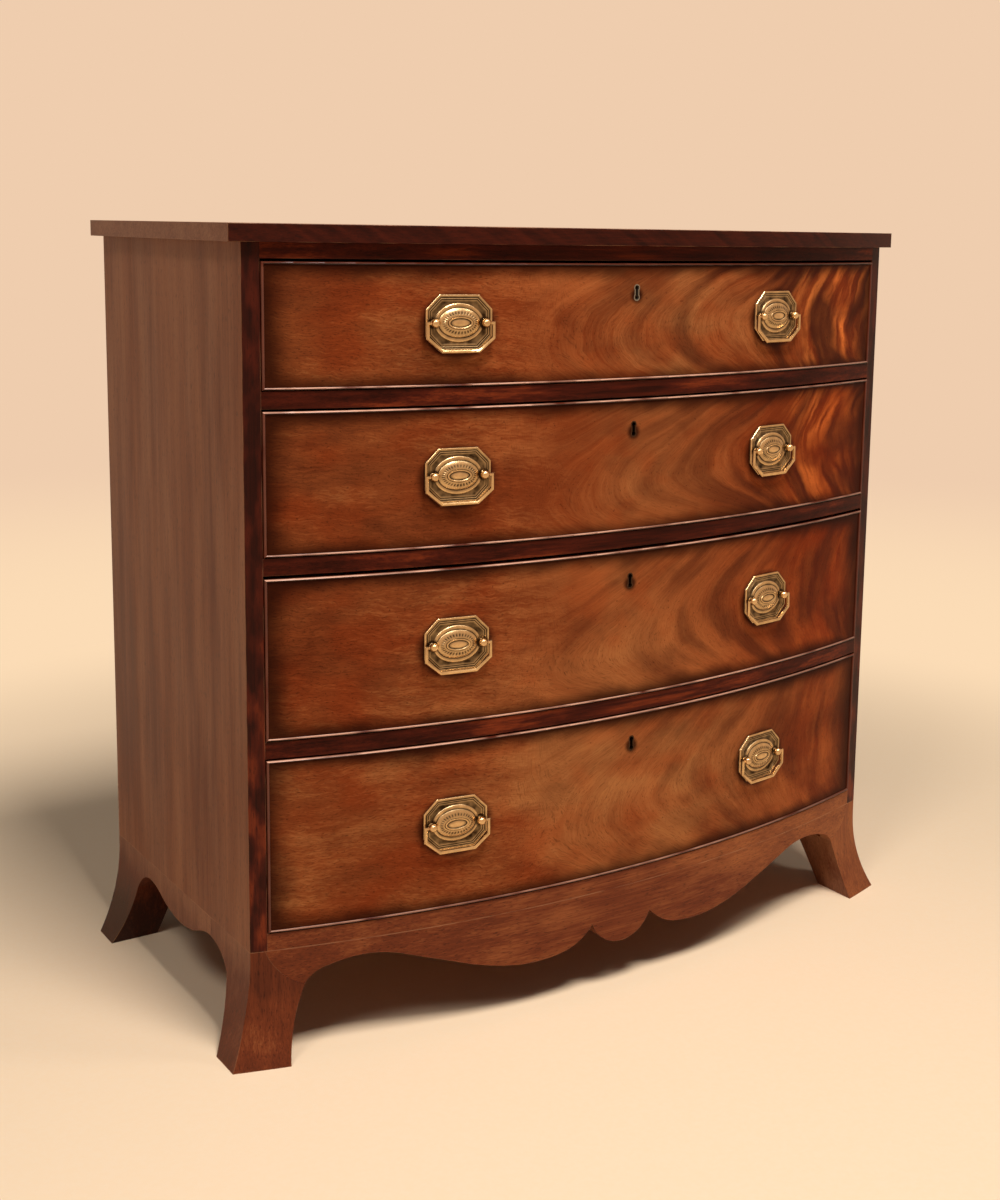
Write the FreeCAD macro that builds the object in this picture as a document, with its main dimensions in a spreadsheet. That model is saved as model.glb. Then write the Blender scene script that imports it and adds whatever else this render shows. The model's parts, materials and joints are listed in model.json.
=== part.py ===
"""Bow front chest of drawers, four long drawers on splayed bracket feet.

Millimetres, +Z up, the front faces -Y.  X = 0 is the middle of the width, Z = 0 the floor,
and Y = 0 lies half way between the front of the top and the back boards.
Every driving size is a cell of the sheet "dims"; the pieces are bound to those cells.
"""
import FreeCAD, Part
import math
import os
import re

import Sketcher

V = FreeCAD.Vector

# ---------------------------------------------------------------- driving sizes

DRIVING = (
    ("carcass_width", 926, "across the outsides of the two side boards"),
    ("side_depth", 422, "depth of a side board, front corner to back"),
    ("bow_rise", 70, "how far the bow stands out in the middle"),
    ("side_thick", 18.4, "side boards, whose edges are the front stiles"),
    ("facing_thick", 4, "mahogany facing on the front edges of the pine"),
    ("top_thick", 19, "top board"),
    ("top_side_over", 16, "overhang of the top at each side"),
    ("top_front_over", 10, "overhang of the top at the middle of the bow"),
    ("base_height", 129, "floor to the underside of the carcass"),
    ("bottom_rail_high", 20, "rail under the lowest drawer"),
    ("divider_high", 19, "rail between two drawers"),
    ("top_rail_high", 17, "rail over the top drawer"),
    ("opening_1", 139.5, "height of the top drawer's opening"),
    ("opening_2", 161, "second opening"),
    ("opening_3", 185.5, "third opening"),
    ("opening_4", 202, "lowest opening"),
    ("rail_depth", 55, "depth of a rail at its ends"),
    ("housing_deep", 8, "rail ends and bottom board let into the sides"),
    ("runner_wide", 38, "drawer runner"),
    ("runner_thick", 16, "drawer runner"),
    ("dust_thick", 6, "dust board between two drawers"),
    ("dust_drop", 5, "dust board below the top of its runners"),
    ("dust_tongue", 6, "dust board let into rail and runners"),
    ("back_thick", 12, "back boards"),
    ("back_rebate", 9, "rebate in the sides for the back boards"),
    ("back_gap", 0.6, "open joint between two back boards"),
    ("side_gap", 1, "clearance at each side of a drawer"),
    ("low_gap", 0.8, "clearance under a drawer front"),
    ("run_gap", 0.3, "clearance of the drawer sides over their runners"),
    ("head_gap_1", 3, "clearance over the top drawer's front"),
    ("head_gap_2", 2.5, "clearance over the second front"),
    ("head_gap_3", 3.7, "clearance over the third front"),
    ("head_gap_4", 2, "clearance over the lowest front"),
    ("tail_gap", 14, "drawer back to back boards"),
    ("front_thick", 22, "curved drawer front"),
    ("bead_thick", 3, "cockbead seen from the front"),
    ("bead_deep", 8, "cockbead let into the drawer front"),
    ("bead_proud", 1.8, "cockbead nose in front of the veneer"),
    ("mitre_toe", 0.4, "blunt tip of the cockbead's mitre"),
    ("lining_thick", 9, "oak drawer sides"),
    ("drawer_back_thick", 9, "oak drawer back"),
    ("drawer_back_drop", 12, "drawer back below the drawer's top edge"),
    ("drawer_floor_thick", 7, "drawer bottom board"),
    ("drawer_floor_up", 7, "drawer bottom above the drawer's lower edge"),
    ("groove_deep", 4.5, "groove for the drawer bottom"),
    ("dovetail_lap", 2, "wood between cockbead and dovetail tips"),
    ("dovetail_pitch", 44, "wanted distance between two pins"),
    ("pin_narrow", 4, "dovetail pin at its narrow edge"),
    ("pin_wide", 12, "dovetail pin at its wide edge"),
    ("stop_across", 300, "drawer stop from the middle"),
    ("stop_wide", 40, "drawer stop"),
    ("stop_deep", 18, "drawer stop"),
    ("stop_high", 5, "drawer stop, passes under the drawer bottom"),
    ("stop_gap", 0.3, "stop to closed drawer front"),
    ("lock_wide", 64, "lock case"),
    ("lock_high", 58, "lock case"),
    ("lock_deep", 10, "lock case"),
    ("lock_proud", 0.5, "lock's flat back stands out of the curved wood"),
    ("selvage_thick", 2.5, "lock's top plate"),
    ("selvage_deep", 15, "lock's top plate"),
    ("bolt_wide", 22, "lock bolt"),
    ("bolt_thick", 5, "lock bolt"),
    ("bolt_long", 26, "lock bolt"),
    ("bolt_gap", 0.3, "clearance round the bolt in its case"),
    ("bolt_throw", 8, "travel of the bolt"),
    ("mortise_gap", 1, "clearance round the thrown bolt in the rail"),
    ("key_drop_1", 33.7, "keyhole below the top edge of drawer 1"),
    ("key_drop_2", 35.7, "keyhole, drawer 2"),
    ("key_drop_3", 37.5, "keyhole, drawer 3"),
    ("key_drop_4", 38.2, "keyhole, drawer 4"),
    ("lock_shift_4", 8, "lowest lock is right of the middle"),
    ("key_high", 11, "between the centres of the keyhole's two ends"),
    ("key_top_radius", 2.9, "keyhole's round top"),
    ("key_waist", 2, "half width of the keyhole's slot under its round top"),
    ("key_foot_radius", 3, "keyhole's round foot"),
    ("escutcheon_wall", 1.3, "brass thread round the keyhole"),
    ("escutcheon_deep", 6, "brass thread"),
    ("escutcheon_proud", 0.2, "brass thread in front of the veneer"),
    ("handle_across", 231, "handle from the middle of its drawer"),
    ("handle_up", 2.6, "handle above the middle of its drawer"),
    ("plate_end", 9.5, "end of the octagonal handle plate beyond a post"),
    ("plate_high", 62, "octagonal handle plate"),
    ("plate_corner", 16, "cut corner of the plate"),
    ("plate_base", 1.3, "plate's thin outer step"),
    ("plate_rim", 2.6, "plate's raised rim"),
    ("plate_field", 1.7, "plate inside its rim"),
    ("rim_step", 2, "outer step inside the plate's edge"),
    ("rim_wide", 5.6, "edge of the plate to its field"),
    ("boss_end", 3.5, "raised oval boss short of a post's axis"),
    ("boss_high", 42, "raised oval boss"),
    ("boss_rise", 6.4, "boss in front of the drawer"),
    ("eye_wide", 23, "small oval on the boss"),
    ("eye_high", 12, "small oval on the boss"),
    ("eye_rise", 7.6, "small oval in front of the drawer"),
    ("post_spacing", 60, "between a handle's two posts"),
    ("pivot_stand", 7.5, "bail pivot in front of the drawer"),
    ("ball_radius", 5, "ball end of a post"),
    ("neck_radius", 2.6, "post behind its ball"),
    ("collar_radius", 3.6, "collar of a post"),
    ("collar_thick", 0.9, "collar of a post"),
    ("stem_radius", 2.2, "threaded stem through the drawer front"),
    ("stem_gap", 0.2, "hole for the stem"),
    ("stem_end", 8, "stem behind the drawer front"),
    ("nut_wide", 11, "square nut"),
    ("nut_thick", 3.5, "square nut"),
    ("nut_gap", 0.6, "nut behind the curved front"),
    ("bail_radius", 2.1, "rod of the bail"),
    ("bail_shoulder", 9, "arm of the bail beyond a post"),
    ("bail_arm", 16.6, "upright part of the bail's arm"),
    ("bail_drop", 31, "pivot to the bail's grip"),
    ("bail_slant", 17.5, "sideways run of the bail's slanted part"),
    ("bail_gap", 0.5, "bail to the post's ball"),
    ("pin_radius", 1.5, "bail's pivot pin"),
    ("pin_gap", 0.06, "running clearance of the pivot pin"),
    ("pin_inset", 1.5, "inner end of the pivot pin from the post's axis"),
    ("side_flare", 29, "foot's sweep beyond the side at the floor"),
    ("side_flare_high", 120, "height at which the side sweep starts"),
    ("front_flare", 23.5, "front foot's sweep in front of the bow"),
    ("front_flare_high", 100, "height at which the front sweep starts"),
    ("toe_in", 33, "foot's inner edge from the side at the floor"),
    ("toe_radius", 405, "foot's inner edge seen from the front"),
    ("knee_in", 58, "foot and apron meet, from the side"),
    ("knee_drop", 44.4, "foot and apron meet, below the carcass"),
    ("joint_in", 16, "top of the foot's joint with the apron"),
    ("joint_radius", 72, "curved joint of foot and apron"),
    ("front_toe", 31, "front foot's depth at the floor"),
    ("front_knee", 60, "front foot's depth at its knee"),
    ("rear_toe", 45, "rear foot's depth at the floor"),
    ("rear_knee", 74, "rear foot's depth at its knee"),
    ("side_knee_drop", 48, "knee on the side, below the carcass"),
    ("side_toe_radius", 455, "foot's edge seen from the side"),
    ("side_arch", 113, "foot's bracket along the side"),
    ("side_arch_drop", 23, "top of the side arch, below the carcass"),
    ("side_lobe", 150, "start of the side apron's drop, from the corner"),
    ("side_lobe_drop", 31, "its height below the carcass"),
    ("side_lobe_low", 43, "lowest part of the side apron"),
    ("apron_thick", 20, "front apron"),
    ("side_apron_thick", 18, "side aprons"),
    ("lobe_half", 44, "half of the front apron's centre drop"),
    ("lobe_top", 40.5, "its cusps below the carcass"),
    ("lobe_low", 71, "its lowest point below the carcass"),
    ("belly_start", 90, "start of the apron's long drop, from the middle"),
    ("belly_start_drop", 67, "its depth below the carcass there"),
    ("belly_start_radius", 72, "arc from the centre drop to it"),
    ("belly_end", 157, "end of the long drop, from the middle"),
    ("belly_end_drop", 67.5, "its depth below the carcass there"),
    ("belly_radius", 204, "arc of the long drop"),
    ("rise_end", 229, "end of the apron's slow rise, from the middle"),
    ("rise_end_drop", 48, "its depth below the carcass there"),
    ("rise_radius", 348, "arc of the slow rise"),
    ("arch_start_in", 175, "start of the arch beside the foot, from the side"),
    ("arch_start_drop", 28, "its depth below the carcass there"),
    ("arch_radius", 130, "arch beside the foot"),
    ("arch_end_in", 85, "end of that arch, from the side"),
    ("arch_end_drop", 26, "its depth below the carcass there"),
    ("arch_foot_radius", 39, "arc from the arch to the foot's knee"),
    ("block", 22, "glue blocks, square"),
    ("block_long", 60, "glue blocks"),
    ("front_block_pitch", 130, "between the blocks behind the front apron"),
    ("side_block_pitch", 100, "between the two blocks behind a side apron"),
    ("brace_wide", 60, "rear foot's pine bracket"),
    ("brace_up", 54, "tip of the rear foot's pine bracket above the floor"),
    ("brace_thick", 18, "rear foot's pine bracket"),
    ("back_clear", 2, "bracket inside the back face"),
    ("eye_sunk", 1, "small oval's base inside the boss"),
    ("margin", 10, "a cutting solid reaches this far past the wood"),
)

BACK_BOARDS = 4
DRAWER_COUNT = 4
FRONT_BLOCKS = 5
FRONT_SWEEP = 90

# ---------------------------------------------------------------- sizes that follow

DERIVED = (
    ("half_width", "carcass_width / 2"),
    ("half_inner", "half_width - side_thick"),
    ("bow_radius", "(half_width ^ 2 + bow_rise ^ 2) / (2 * bow_rise)"),
    ("back_y", "(side_depth + bow_rise + top_front_over) / 2"),
    ("corner_y", "back_y - side_depth"),
    ("bow_axis_y", "corner_y - bow_rise + bow_radius"),
    ("front_y", "corner_y - bow_rise"),
    ("core_radius", "bow_radius - facing_thick"),
    ("lining_radius", "bow_radius - front_thick"),
    ("floor_4", "base_height + bottom_rail_high"),
    ("head_4", "floor_4 + opening_4"),
    ("floor_3", "head_4 + divider_high"),
    ("head_3", "floor_3 + opening_3"),
    ("floor_2", "head_3 + divider_high"),
    ("head_2", "floor_2 + opening_2"),
    ("floor_1", "head_2 + divider_high"),
    ("head_1", "floor_1 + opening_1"),
    ("body_top", "head_1 + top_rail_high"),
    ("total_height", "body_top + top_thick"),
    ("rail_back_y", "corner_y + rail_depth"),
    ("inner_back_y", "back_y - back_thick"),
    ("drawer_half", "half_inner - side_gap"),
    ("drawer_back_y", "inner_back_y - tail_gap"),
    ("lining_half", "drawer_half - lining_thick"),
    ("lock_face_y", "bow_axis_y - sqrt(lining_radius ^ 2 - (lock_shift_4 + lock_wide / 2) ^ 2)"
                    " + lock_proud"),
    ("bolt_y", "lock_face_y - lock_deep / 2"),
    ("tail_tip_y", "bow_axis_y - sqrt((bow_radius - bead_deep) ^ 2 - drawer_half ^ 2)"
                   " + dovetail_lap"),
    ("shoulder_y", "bow_axis_y - sqrt(lining_radius ^ 2 - drawer_half ^ 2)"),
    ("nose_radius", "bead_thick / 2"),
    ("nose_bow", "bow_radius + bead_proud - nose_radius"),
    ("handle_y", "bow_axis_y - sqrt(bow_radius ^ 2 - handle_across ^ 2)"),
    ("handle_turn", "asin(handle_across / bow_radius)"),
    ("post_half", "post_spacing / 2"),
    ("plate_wide", "post_spacing + 2 * plate_end"),
    ("boss_wide", "post_spacing - 2 * boss_end"),
    ("bail_half", "post_half + bail_shoulder"),
    ("bail_grip_half", "bail_half - bail_slant"),
    ("eye_seat", "boss_rise - eye_sunk"),
    ("side_sweep_radius", "(side_flare_high ^ 2 + side_flare ^ 2) / (2 * side_flare)"),
    ("front_sweep_radius", "(front_flare_high ^ 2 + front_flare ^ 2) / (2 * front_flare)"),
    ("stop_y", "bow_axis_y - sqrt(lining_radius ^ 2 - (stop_across + stop_wide / 2) ^ 2)"
               " + stop_gap"),
    ("lobe_radius", "(lobe_half ^ 2 + (lobe_low - lobe_top) ^ 2)"
                    " / (2 * (lobe_low - lobe_top))"),
    ("side_arch_radius", "((side_arch - front_knee) ^ 2 + (side_knee_drop - side_arch_drop) ^ 2)"
                         " / (2 * (side_knee_drop - side_arch_drop))"),
    ("rear_arch_radius", "((side_arch - rear_knee) ^ 2 + (side_knee_drop - side_arch_drop) ^ 2)"
                         " / (2 * (side_knee_drop - side_arch_drop))"),
    ("lobe_end_radius", "((side_lobe - side_arch) ^ 2 + (side_lobe_drop - side_arch_drop) ^ 2)"
                        " / (2 * (side_lobe_drop - side_arch_drop))"),
    ("side_lobe_radius", "((side_depth / 2 - side_lobe) ^ 2"
                         " + (side_lobe_low - side_lobe_drop) ^ 2)"
                         " / (2 * (side_lobe_low - side_lobe_drop))"),
)

doc = FreeCAD.newDocument("bow_front_chest")
dims = doc.addObject("Spreadsheet::Sheet", "dims")
ALIASES = {name for name, *_ in DRIVING + DERIVED}
DRAWERS = range(1, DRAWER_COUNT + 1)


def fill_sheet():
    """Write the driving sizes as plain numbers and the sizes that follow as formulas."""
    row = 1
    for name, value, meaning in DRIVING:
        dims.set(f"A{row}", name)
        dims.set(f"B{row}", str(value))
        dims.set(f"C{row}", meaning)
        dims.setAlias(f"B{row}", name)
        row += 1
    for name, formula in DERIVED:
        dims.set(f"A{row}", name)
        dims.set(f"B{row}", "=" + formula)
        dims.setAlias(f"B{row}", name)
        row += 1
    doc.recompute()


def bound(text):
    """An expression in which each alias is looked up in the sheet."""
    return re.sub(r"[a-z_][a-z_0-9]*",
                  lambda word: "dims." + word[0] if word[0] in ALIASES else word[0],
                  str(text))


def number(text):
    """The present value of an expression."""
    return float(dims.evalExpression(bound(text)))


def bind(obj, **sizes):
    """Bind properties to expressions."""
    for name, text in sizes.items():
        obj.setExpression(name, bound(text))
    return obj


def place(obj, x="0", y="0", z="0"):
    """Bind an object's position."""
    for axis, text in zip("xyz", (x, y, z)):
        obj.setExpression("Placement.Base." + axis, bound(text))
    return obj


def bow_y(radius, across):
    """Y of a circle about the bow's axis, at a distance from the middle."""
    return f"(bow_axis_y - sqrt(({radius}) ^ 2 - ({across}) ^ 2))"


# ---------------------------------------------------------------- solids

def box(name, x, y, z):
    """A box given by its low and high expressions along each axis."""
    solid = doc.addObject("Part::Box", name)
    bind(solid, Length=f"({x[1]}) - ({x[0]})",
         Width=f"({y[1]}) - ({y[0]})",
         Height=f"({z[1]}) - ({z[0]})")
    return place(solid, x[0], y[0], z[0])


def column(name, radius, z, x="0", y="bow_axis_y"):
    """An upright cylinder, about the bow's axis unless told otherwise."""
    solid = doc.addObject("Part::Cylinder", name)
    bind(solid, Radius=radius, Height=f"({z[1]}) - ({z[0]})")
    return place(solid, x, y, z[0])


def rod(name, radius, start, end, along, at):
    """A cylinder along X or Y; at holds its other two coordinates."""
    solid = doc.addObject("Part::Cylinder", name)
    bind(solid, Radius=radius, Height=f"({end}) - ({start})")
    if along == "x":
        solid.Placement.Rotation = FreeCAD.Rotation(V(0, 1, 0), 90)
        return place(solid, start, at[0], at[1])
    solid.Placement.Rotation = FreeCAD.Rotation(V(1, 0, 0), -90)
    return place(solid, at[0], start, at[1])


def cut(name, base, *tools):
    """A base less its tools, one after another."""
    for count, tool in enumerate(tools, 1):
        step = doc.addObject("Part::Cut", f"{name}_{count}")
        step.Base = base
        step.Tool = tool
        base = step
    return base


def common(name, base, *others):
    """What all the solids share."""
    for count, other in enumerate(others, 1):
        step = doc.addObject("Part::Common", f"{name}_{count}")
        step.Base = base
        step.Tool = other
        base = step
    return base


def fuse(name, *solids):
    """One solid made of several."""
    whole = doc.addObject("Part::MultiFuse", name)
    whole.Shapes = list(solids)
    whole.Refine = True
    return whole


def group(name, *solids):
    """Separate solids kept together."""
    kept = doc.addObject("Part::Compound", name)
    kept.Links = list(solids)
    return kept


def mirrored(name, source):
    """The same piece on the other side of the middle plane."""
    copy = doc.addObject("Part::Mirroring", name)
    copy.Source = source
    copy.Normal = V(1, 0, 0)
    return copy


def linked(name, source):
    """A repeat of a piece that can have its own placement."""
    copy = doc.addObject("App::Link", name)
    copy.LinkedObject = source
    copy.LinkTransform = True
    return copy


# ---------------------------------------------------------------- outlines

PLANES = {
    "XZ": FreeCAD.Rotation(V(1, 0, 0), V(0, 0, 1), V(0, -1, 0)),
    "YZ": FreeCAD.Rotation(V(0, 1, 0), V(0, 0, 1), V(1, 0, 0)),
    "front_radius": FreeCAD.Rotation(V(0, -1, 0), V(0, 0, 1), V(-1, 0, 0)),
    "XY": FreeCAD.Rotation(),
}


def arc_between(start, end, radius, side):
    """The shorter arc between two points that swells to one side of the path."""
    chord = end - start
    half = chord.Length / 2
    across = V(-chord.y, chord.x, 0)
    across.normalize()
    if side == "right":
        across = -across
    depth = math.sqrt(max(radius ** 2 - half ** 2, 0))
    crown = (start + end) * 0.5 + across * (radius - depth)
    if side == "right":
        return Part.Arc(start, crown, end), True
    return Part.Arc(end, crown, start), False


def outline(name, points, plane, closed=True, body=None):
    """A sketch through points, each (x, y) or (x, y, radius, side) where an arc follows."""
    if body is None:
        sketch = doc.addObject("Sketcher::SketchObject", name)
        sketch.Placement.Rotation = PLANES[plane]
    else:
        sketch = body.newObject("Sketcher::SketchObject", name)
        role = plane + "_Plane"
        origin = body.Origin.OriginFeatures
        sketch.AttachmentSupport = [next(o for o in origin if o.Role == role)]
        sketch.MapMode = "FlatFace"
    values = [V(number(p[0]), number(p[1]), 0) for p in points]
    count = len(points) if closed else len(points) - 1
    ends = []
    for k in range(count):
        start, end = values[k], values[(k + 1) % len(points)]
        _, _, *arc = points[k]
        if arc:
            edge, forward = arc_between(start, end, number(arc[0]), arc[1])
        else:
            edge, forward = Part.LineSegment(start, end), True
        ends.append((sketch.addGeometry(edge, False), forward))
    for k in range(count if closed else count - 1):
        edge, forward = ends[k]
        following, ahead = ends[(k + 1) % count]
        sketch.addConstraint(Sketcher.Constraint(
            "Coincident", edge, 2 if forward else 1, following, 1 if ahead else 2))
    for k, (across, up, *arc) in enumerate(points):
        edge, forward = ends[min(k, count - 1)]
        first = forward == (k < count)
        vertex = 1 if first else 2
        for kind, text, value in (("DistanceX", across, values[k].x),
                                  ("DistanceY", up, values[k].y)):
            index = sketch.addConstraint(
                Sketcher.Constraint(kind, -1, 1, edge, vertex, value))
            sketch.setExpression(f"Constraints[{index}]", bound(text))
        if arc:
            index = sketch.addConstraint(Sketcher.Constraint("Radius", edge, number(arc[0])))
            sketch.setExpression(f"Constraints[{index}]", bound(arc[0]))
    return sketch


def slab(name, points, plane, span):
    """An outline drawn out along the third axis, between two expressions."""
    sketch = outline(name + "_outline", points, plane)
    solid = doc.addObject("Part::Extrusion", name)
    solid.Base = sketch
    solid.DirMode = "Custom"
    solid.Solid = True
    bind(solid, LengthFwd=f"({span[1]}) - ({span[0]})")
    if plane == "YZ":
        solid.Dir = V(1, 0, 0)
        place(sketch, x=span[0])
    else:
        solid.Dir = V(0, 1, 0)
        place(sketch, y=span[0])
    return solid


def ring(name, outer, inner, z):
    """Part of the bow: the shell between two radii."""
    return cut(name, column(name + "_outer", outer, z), column(name + "_inner", inner, z))


def turned(name, points):
    """A profile of distances from the bow's axis and heights, turned about that axis."""
    profile = outline(name + "_profile", points, "front_radius")
    place(profile, y="bow_axis_y")
    solid = doc.addObject("Part::Revolution", name)
    solid.Source = profile
    solid.Axis = V(0, 0, 1)
    solid.Angle = FRONT_SWEEP
    solid.Symmetric = True
    solid.Solid = True
    return bind(solid, **{"Base.y": "bow_axis_y"})


nodes = {}


def keep(name, piece):
    """Give a finished piece its own label, under which it is written."""
    if isinstance(piece, (list, tuple)):
        piece = group(name, *piece)
    piece.Label = name
    nodes[name] = piece
    return piece


# ---------------------------------------------------------------- carcass

fill_sheet()

ACROSS = ("-half_inner", "half_inner")
HOUSED = ("-half_inner - housing_deep", "half_inner + housing_deep")
FRONT_ZONE = ("front_y - margin", "rail_back_y")


def make_top():
    """One board, its front edge on the same centre as the bow."""
    board = box("top_board", ("-half_width - top_side_over", "half_width + top_side_over"),
                ("-back_y - margin", "back_y"), ("body_top", "total_height"))
    edge = column("top_edge", "bow_radius + top_front_over", ("body_top", "total_height"))
    keep("top", common("top_shape", board, edge))


def make_dust_board(number_of):
    """Thin board in grooves of the rail and the runners, under one drawer."""
    floor = f"floor_{number_of}"
    half = "(half_inner - runner_wide + dust_tongue)"
    return box(f"dust_board_{number_of}", ("-" + half, half),
               ("rail_back_y - dust_tongue", "inner_back_y"),
               (f"{floor} - dust_drop - dust_thick", f"{floor} - dust_drop"))


def make_rail(name, z, tools):
    """Pine rail with a curved front, housed in the sides, and its mahogany facing."""
    blank = common(name + "_blank", box(name + "_box", HOUSED, FRONT_ZONE, z),
                   column(name + "_bow", "core_radius", z))
    core = cut(name + "_core", blank, *tools)
    facing = common(name + "_facing", box(name + "_facing_box", ACROSS, FRONT_ZONE, z),
                    ring(name + "_facing_ring", "bow_radius", "core_radius", z))
    keep(name, (core, facing))
    return blank


def lock_middle(drawer):
    """Distance of a drawer's lock from the middle."""
    return "lock_shift_4" if drawer == 4 else "0"


def make_mortise(drawer):
    """Hole over a drawer for its thrown bolt."""
    middle = lock_middle(drawer)
    across = "(bolt_wide / 2 + mortise_gap)"
    along = "(bolt_thick / 2 + mortise_gap)"
    return box(f"mortise_{drawer}", (f"{middle} - {across}", f"{middle} + {across}"),
               (f"bolt_y - {along}", f"bolt_y + {along}"),
               (f"head_{drawer}", f"head_{drawer} + bolt_throw + mortise_gap"))


def make_runners(dust_boards):
    """Runners under drawers 1 to 3 and kickers over drawer 1, glued to the sides."""
    pieces = []
    deep = ("rail_back_y", "inner_back_y")
    for drawer in DRAWERS[:3]:
        floor = f"floor_{drawer}"
        blank = box(f"runner_box_{drawer}", ("half_inner - runner_wide", "half_inner"),
                    deep, (f"{floor} - runner_thick", floor))
        runner = cut(f"runner_{drawer}", blank, dust_boards[drawer])
        pieces += [runner, mirrored(f"runner_left_{drawer}", runner)]
    kicker = box("kicker", ("half_inner - runner_wide", "half_inner"), deep,
                 ("head_1", "body_top"))
    keep("runners", pieces + [kicker, mirrored("kicker_left", kicker)])


def make_side(housed):
    """Side board with its back rebate and housings, and the facing on its front edge."""
    z = ("base_height", "body_top")
    wide = ("half_inner", "half_width")
    blank = common("side_blank", box("side_box", wide, ("front_y", "back_y"), z),
                   column("side_bow", "core_radius", z))
    rebate = box("side_rebate", ("half_inner", "half_inner + back_rebate"),
                 ("inner_back_y", "back_y"), z)
    board = cut("side_board", blank, rebate, *housed)
    facing = common("side_facing", box("side_facing_box", wide, FRONT_ZONE, z),
                    ring("side_facing_ring", "bow_radius", "core_radius", z))
    keep("side_right", (board, facing))
    keep("side_left", (mirrored("side_board_left", board),
                       mirrored("side_facing_left", facing)))


def make_back():
    """Pine boards laid across the back, in the rebates of the sides."""
    half = "(half_inner + back_rebate)"
    pitch = f"((body_top - base_height + back_gap) / {BACK_BOARDS})"
    boards = []
    for count in range(BACK_BOARDS):
        low = f"base_height + {count} * {pitch}"
        boards.append(box(f"back_board_{count + 1}", ("-" + half, half),
                          ("inner_back_y", "back_y"), (low, f"{low} + {pitch} - back_gap")))
    keep("back_boards", boards)


def make_carcass():
    """Everything that stays still above the feet."""
    make_top()
    dust_boards = {drawer: make_dust_board(drawer) for drawer in DRAWERS[:3]}
    housed = [make_rail("top_rail", ("head_1", "body_top"), [make_mortise(1)])]
    for drawer in DRAWERS[:3]:
        housed.append(make_rail(f"divider_{drawer}", (f"head_{drawer + 1}", f"floor_{drawer}"),
                                [make_mortise(drawer + 1), dust_boards[drawer]]))
    housed.append(make_rail("bottom_rail", ("base_height", "floor_4"), []))
    bottom = box("bottom_board", HOUSED, ("rail_back_y", "inner_back_y"),
                 ("base_height", "floor_4"))
    keep("carcass_bottom", (bottom,))
    keep("dust_boards", list(dust_boards.values()))
    make_runners(dust_boards)
    make_side(housed + [bottom])
    make_back()


# ---------------------------------------------------------------- base

def drop(text):
    """A height given as its distance below the carcass."""
    return f"base_height - {text}"


def foot_edge():
    """Inner edge of a foot seen from the front, floor to carcass, and its curved joint."""
    return [("half_width - toe_in", "0", "toe_radius", "right"),
            ("half_width - knee_in", drop("knee_drop"), "joint_radius", "right"),
            ("half_width - joint_in", "base_height")]


def make_feet():
    """Splayed bracket feet: two outlines and the sweep of the front, shaped together."""
    seen_from_front = [("half_width", "base_height"),
                       ("half_width", "side_flare_high", "side_sweep_radius", "right"),
                       ("half_width + side_flare", "0")] + foot_edge()
    front_view = slab("foot_front_view", seen_from_front, "XZ",
                      ("-back_y - front_flare", "back_y"))
    across = ("half_width - side_arch", "half_width + side_flare + margin")
    arch = ("side_arch_drop", "side_arch")
    front_side = [("-back_y - front_flare", "base_height"),
                  ("-back_y - front_flare", "0"),
                  ("corner_y + front_toe", "0", "side_toe_radius", "right"),
                  ("corner_y + front_knee", drop("side_knee_drop"), "side_arch_radius",
                   "left"),
                  ("corner_y + " + arch[1], drop(arch[0])),
                  ("corner_y + " + arch[1], "base_height")]
    rear_side = [("back_y", "base_height"),
                 ("back_y", "0"),
                 ("back_y - rear_toe", "0", "side_toe_radius", "left"),
                 ("back_y - rear_knee", drop("side_knee_drop"), "rear_arch_radius",
                  "right"),
                 ("back_y - " + arch[1], drop(arch[0])),
                 ("back_y - " + arch[1], "base_height")]
    swept = turned("foot_swept",
                   [("0", "base_height"),
                    ("0", "0"),
                    ("bow_radius + front_flare", "0", "front_sweep_radius", "left"),
                    ("bow_radius", "front_flare_high"),
                    ("bow_radius", "base_height")])
    behind = (across[0], "half_width - side_apron_thick")
    under = ("0", "base_height")
    front = cut("foot_front",
                common("foot_front_solid", front_view,
                       slab("foot_front_side", front_side, "YZ", across), swept),
                box("foot_front_inside", behind, ("corner_y + front_knee", "0"), under))
    rear = cut("foot_rear",
               common("foot_rear_solid", front_view,
                      slab("foot_rear_side", rear_side, "YZ", across)),
               box("foot_rear_inside", behind, ("0", "back_y - rear_knee"), under))
    keep("foot_front_right", front)
    keep("foot_rear_right", rear)
    keep("foot_front_left", mirrored("foot_front_mirror", front))
    keep("foot_rear_left", mirrored("foot_rear_mirror", rear))
    return rear


def both_sides(path, middle):
    """A path on the right and its mirror image, joined by an arc across the middle."""
    left = []
    for k in range(len(path) - 1, -1, -1):
        arc = path[k - 1][2:] if k else middle
        left.append((f"-({path[k][0]})", path[k][1]) + arc)
    return left + path


def make_front_apron():
    """Shaped apron under the bow, from foot to foot."""
    half = [("lobe_half", drop("lobe_top"), "belly_start_radius", "right"),
            ("belly_start", drop("belly_start_drop"), "belly_radius", "right"),
            ("belly_end", drop("belly_end_drop"), "rise_radius", "right"),
            ("rise_end", drop("rise_end_drop")),
            ("half_width - arch_start_in", drop("arch_start_drop"), "arch_radius", "left"),
            ("half_width - arch_end_in", drop("arch_end_drop"), "arch_foot_radius",
             "left")] + foot_edge()[1:]
    shape = slab("apron_front_view", both_sides(half, ("lobe_radius", "right")), "XZ",
                 ("-back_y", "rail_back_y"))
    shell = ring("apron_shell", "bow_radius", "bow_radius - apron_thick",
                 ("base_height - lobe_low - margin", "base_height"))
    keep("apron_front", common("apron_front_shape", shape, shell))


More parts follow.
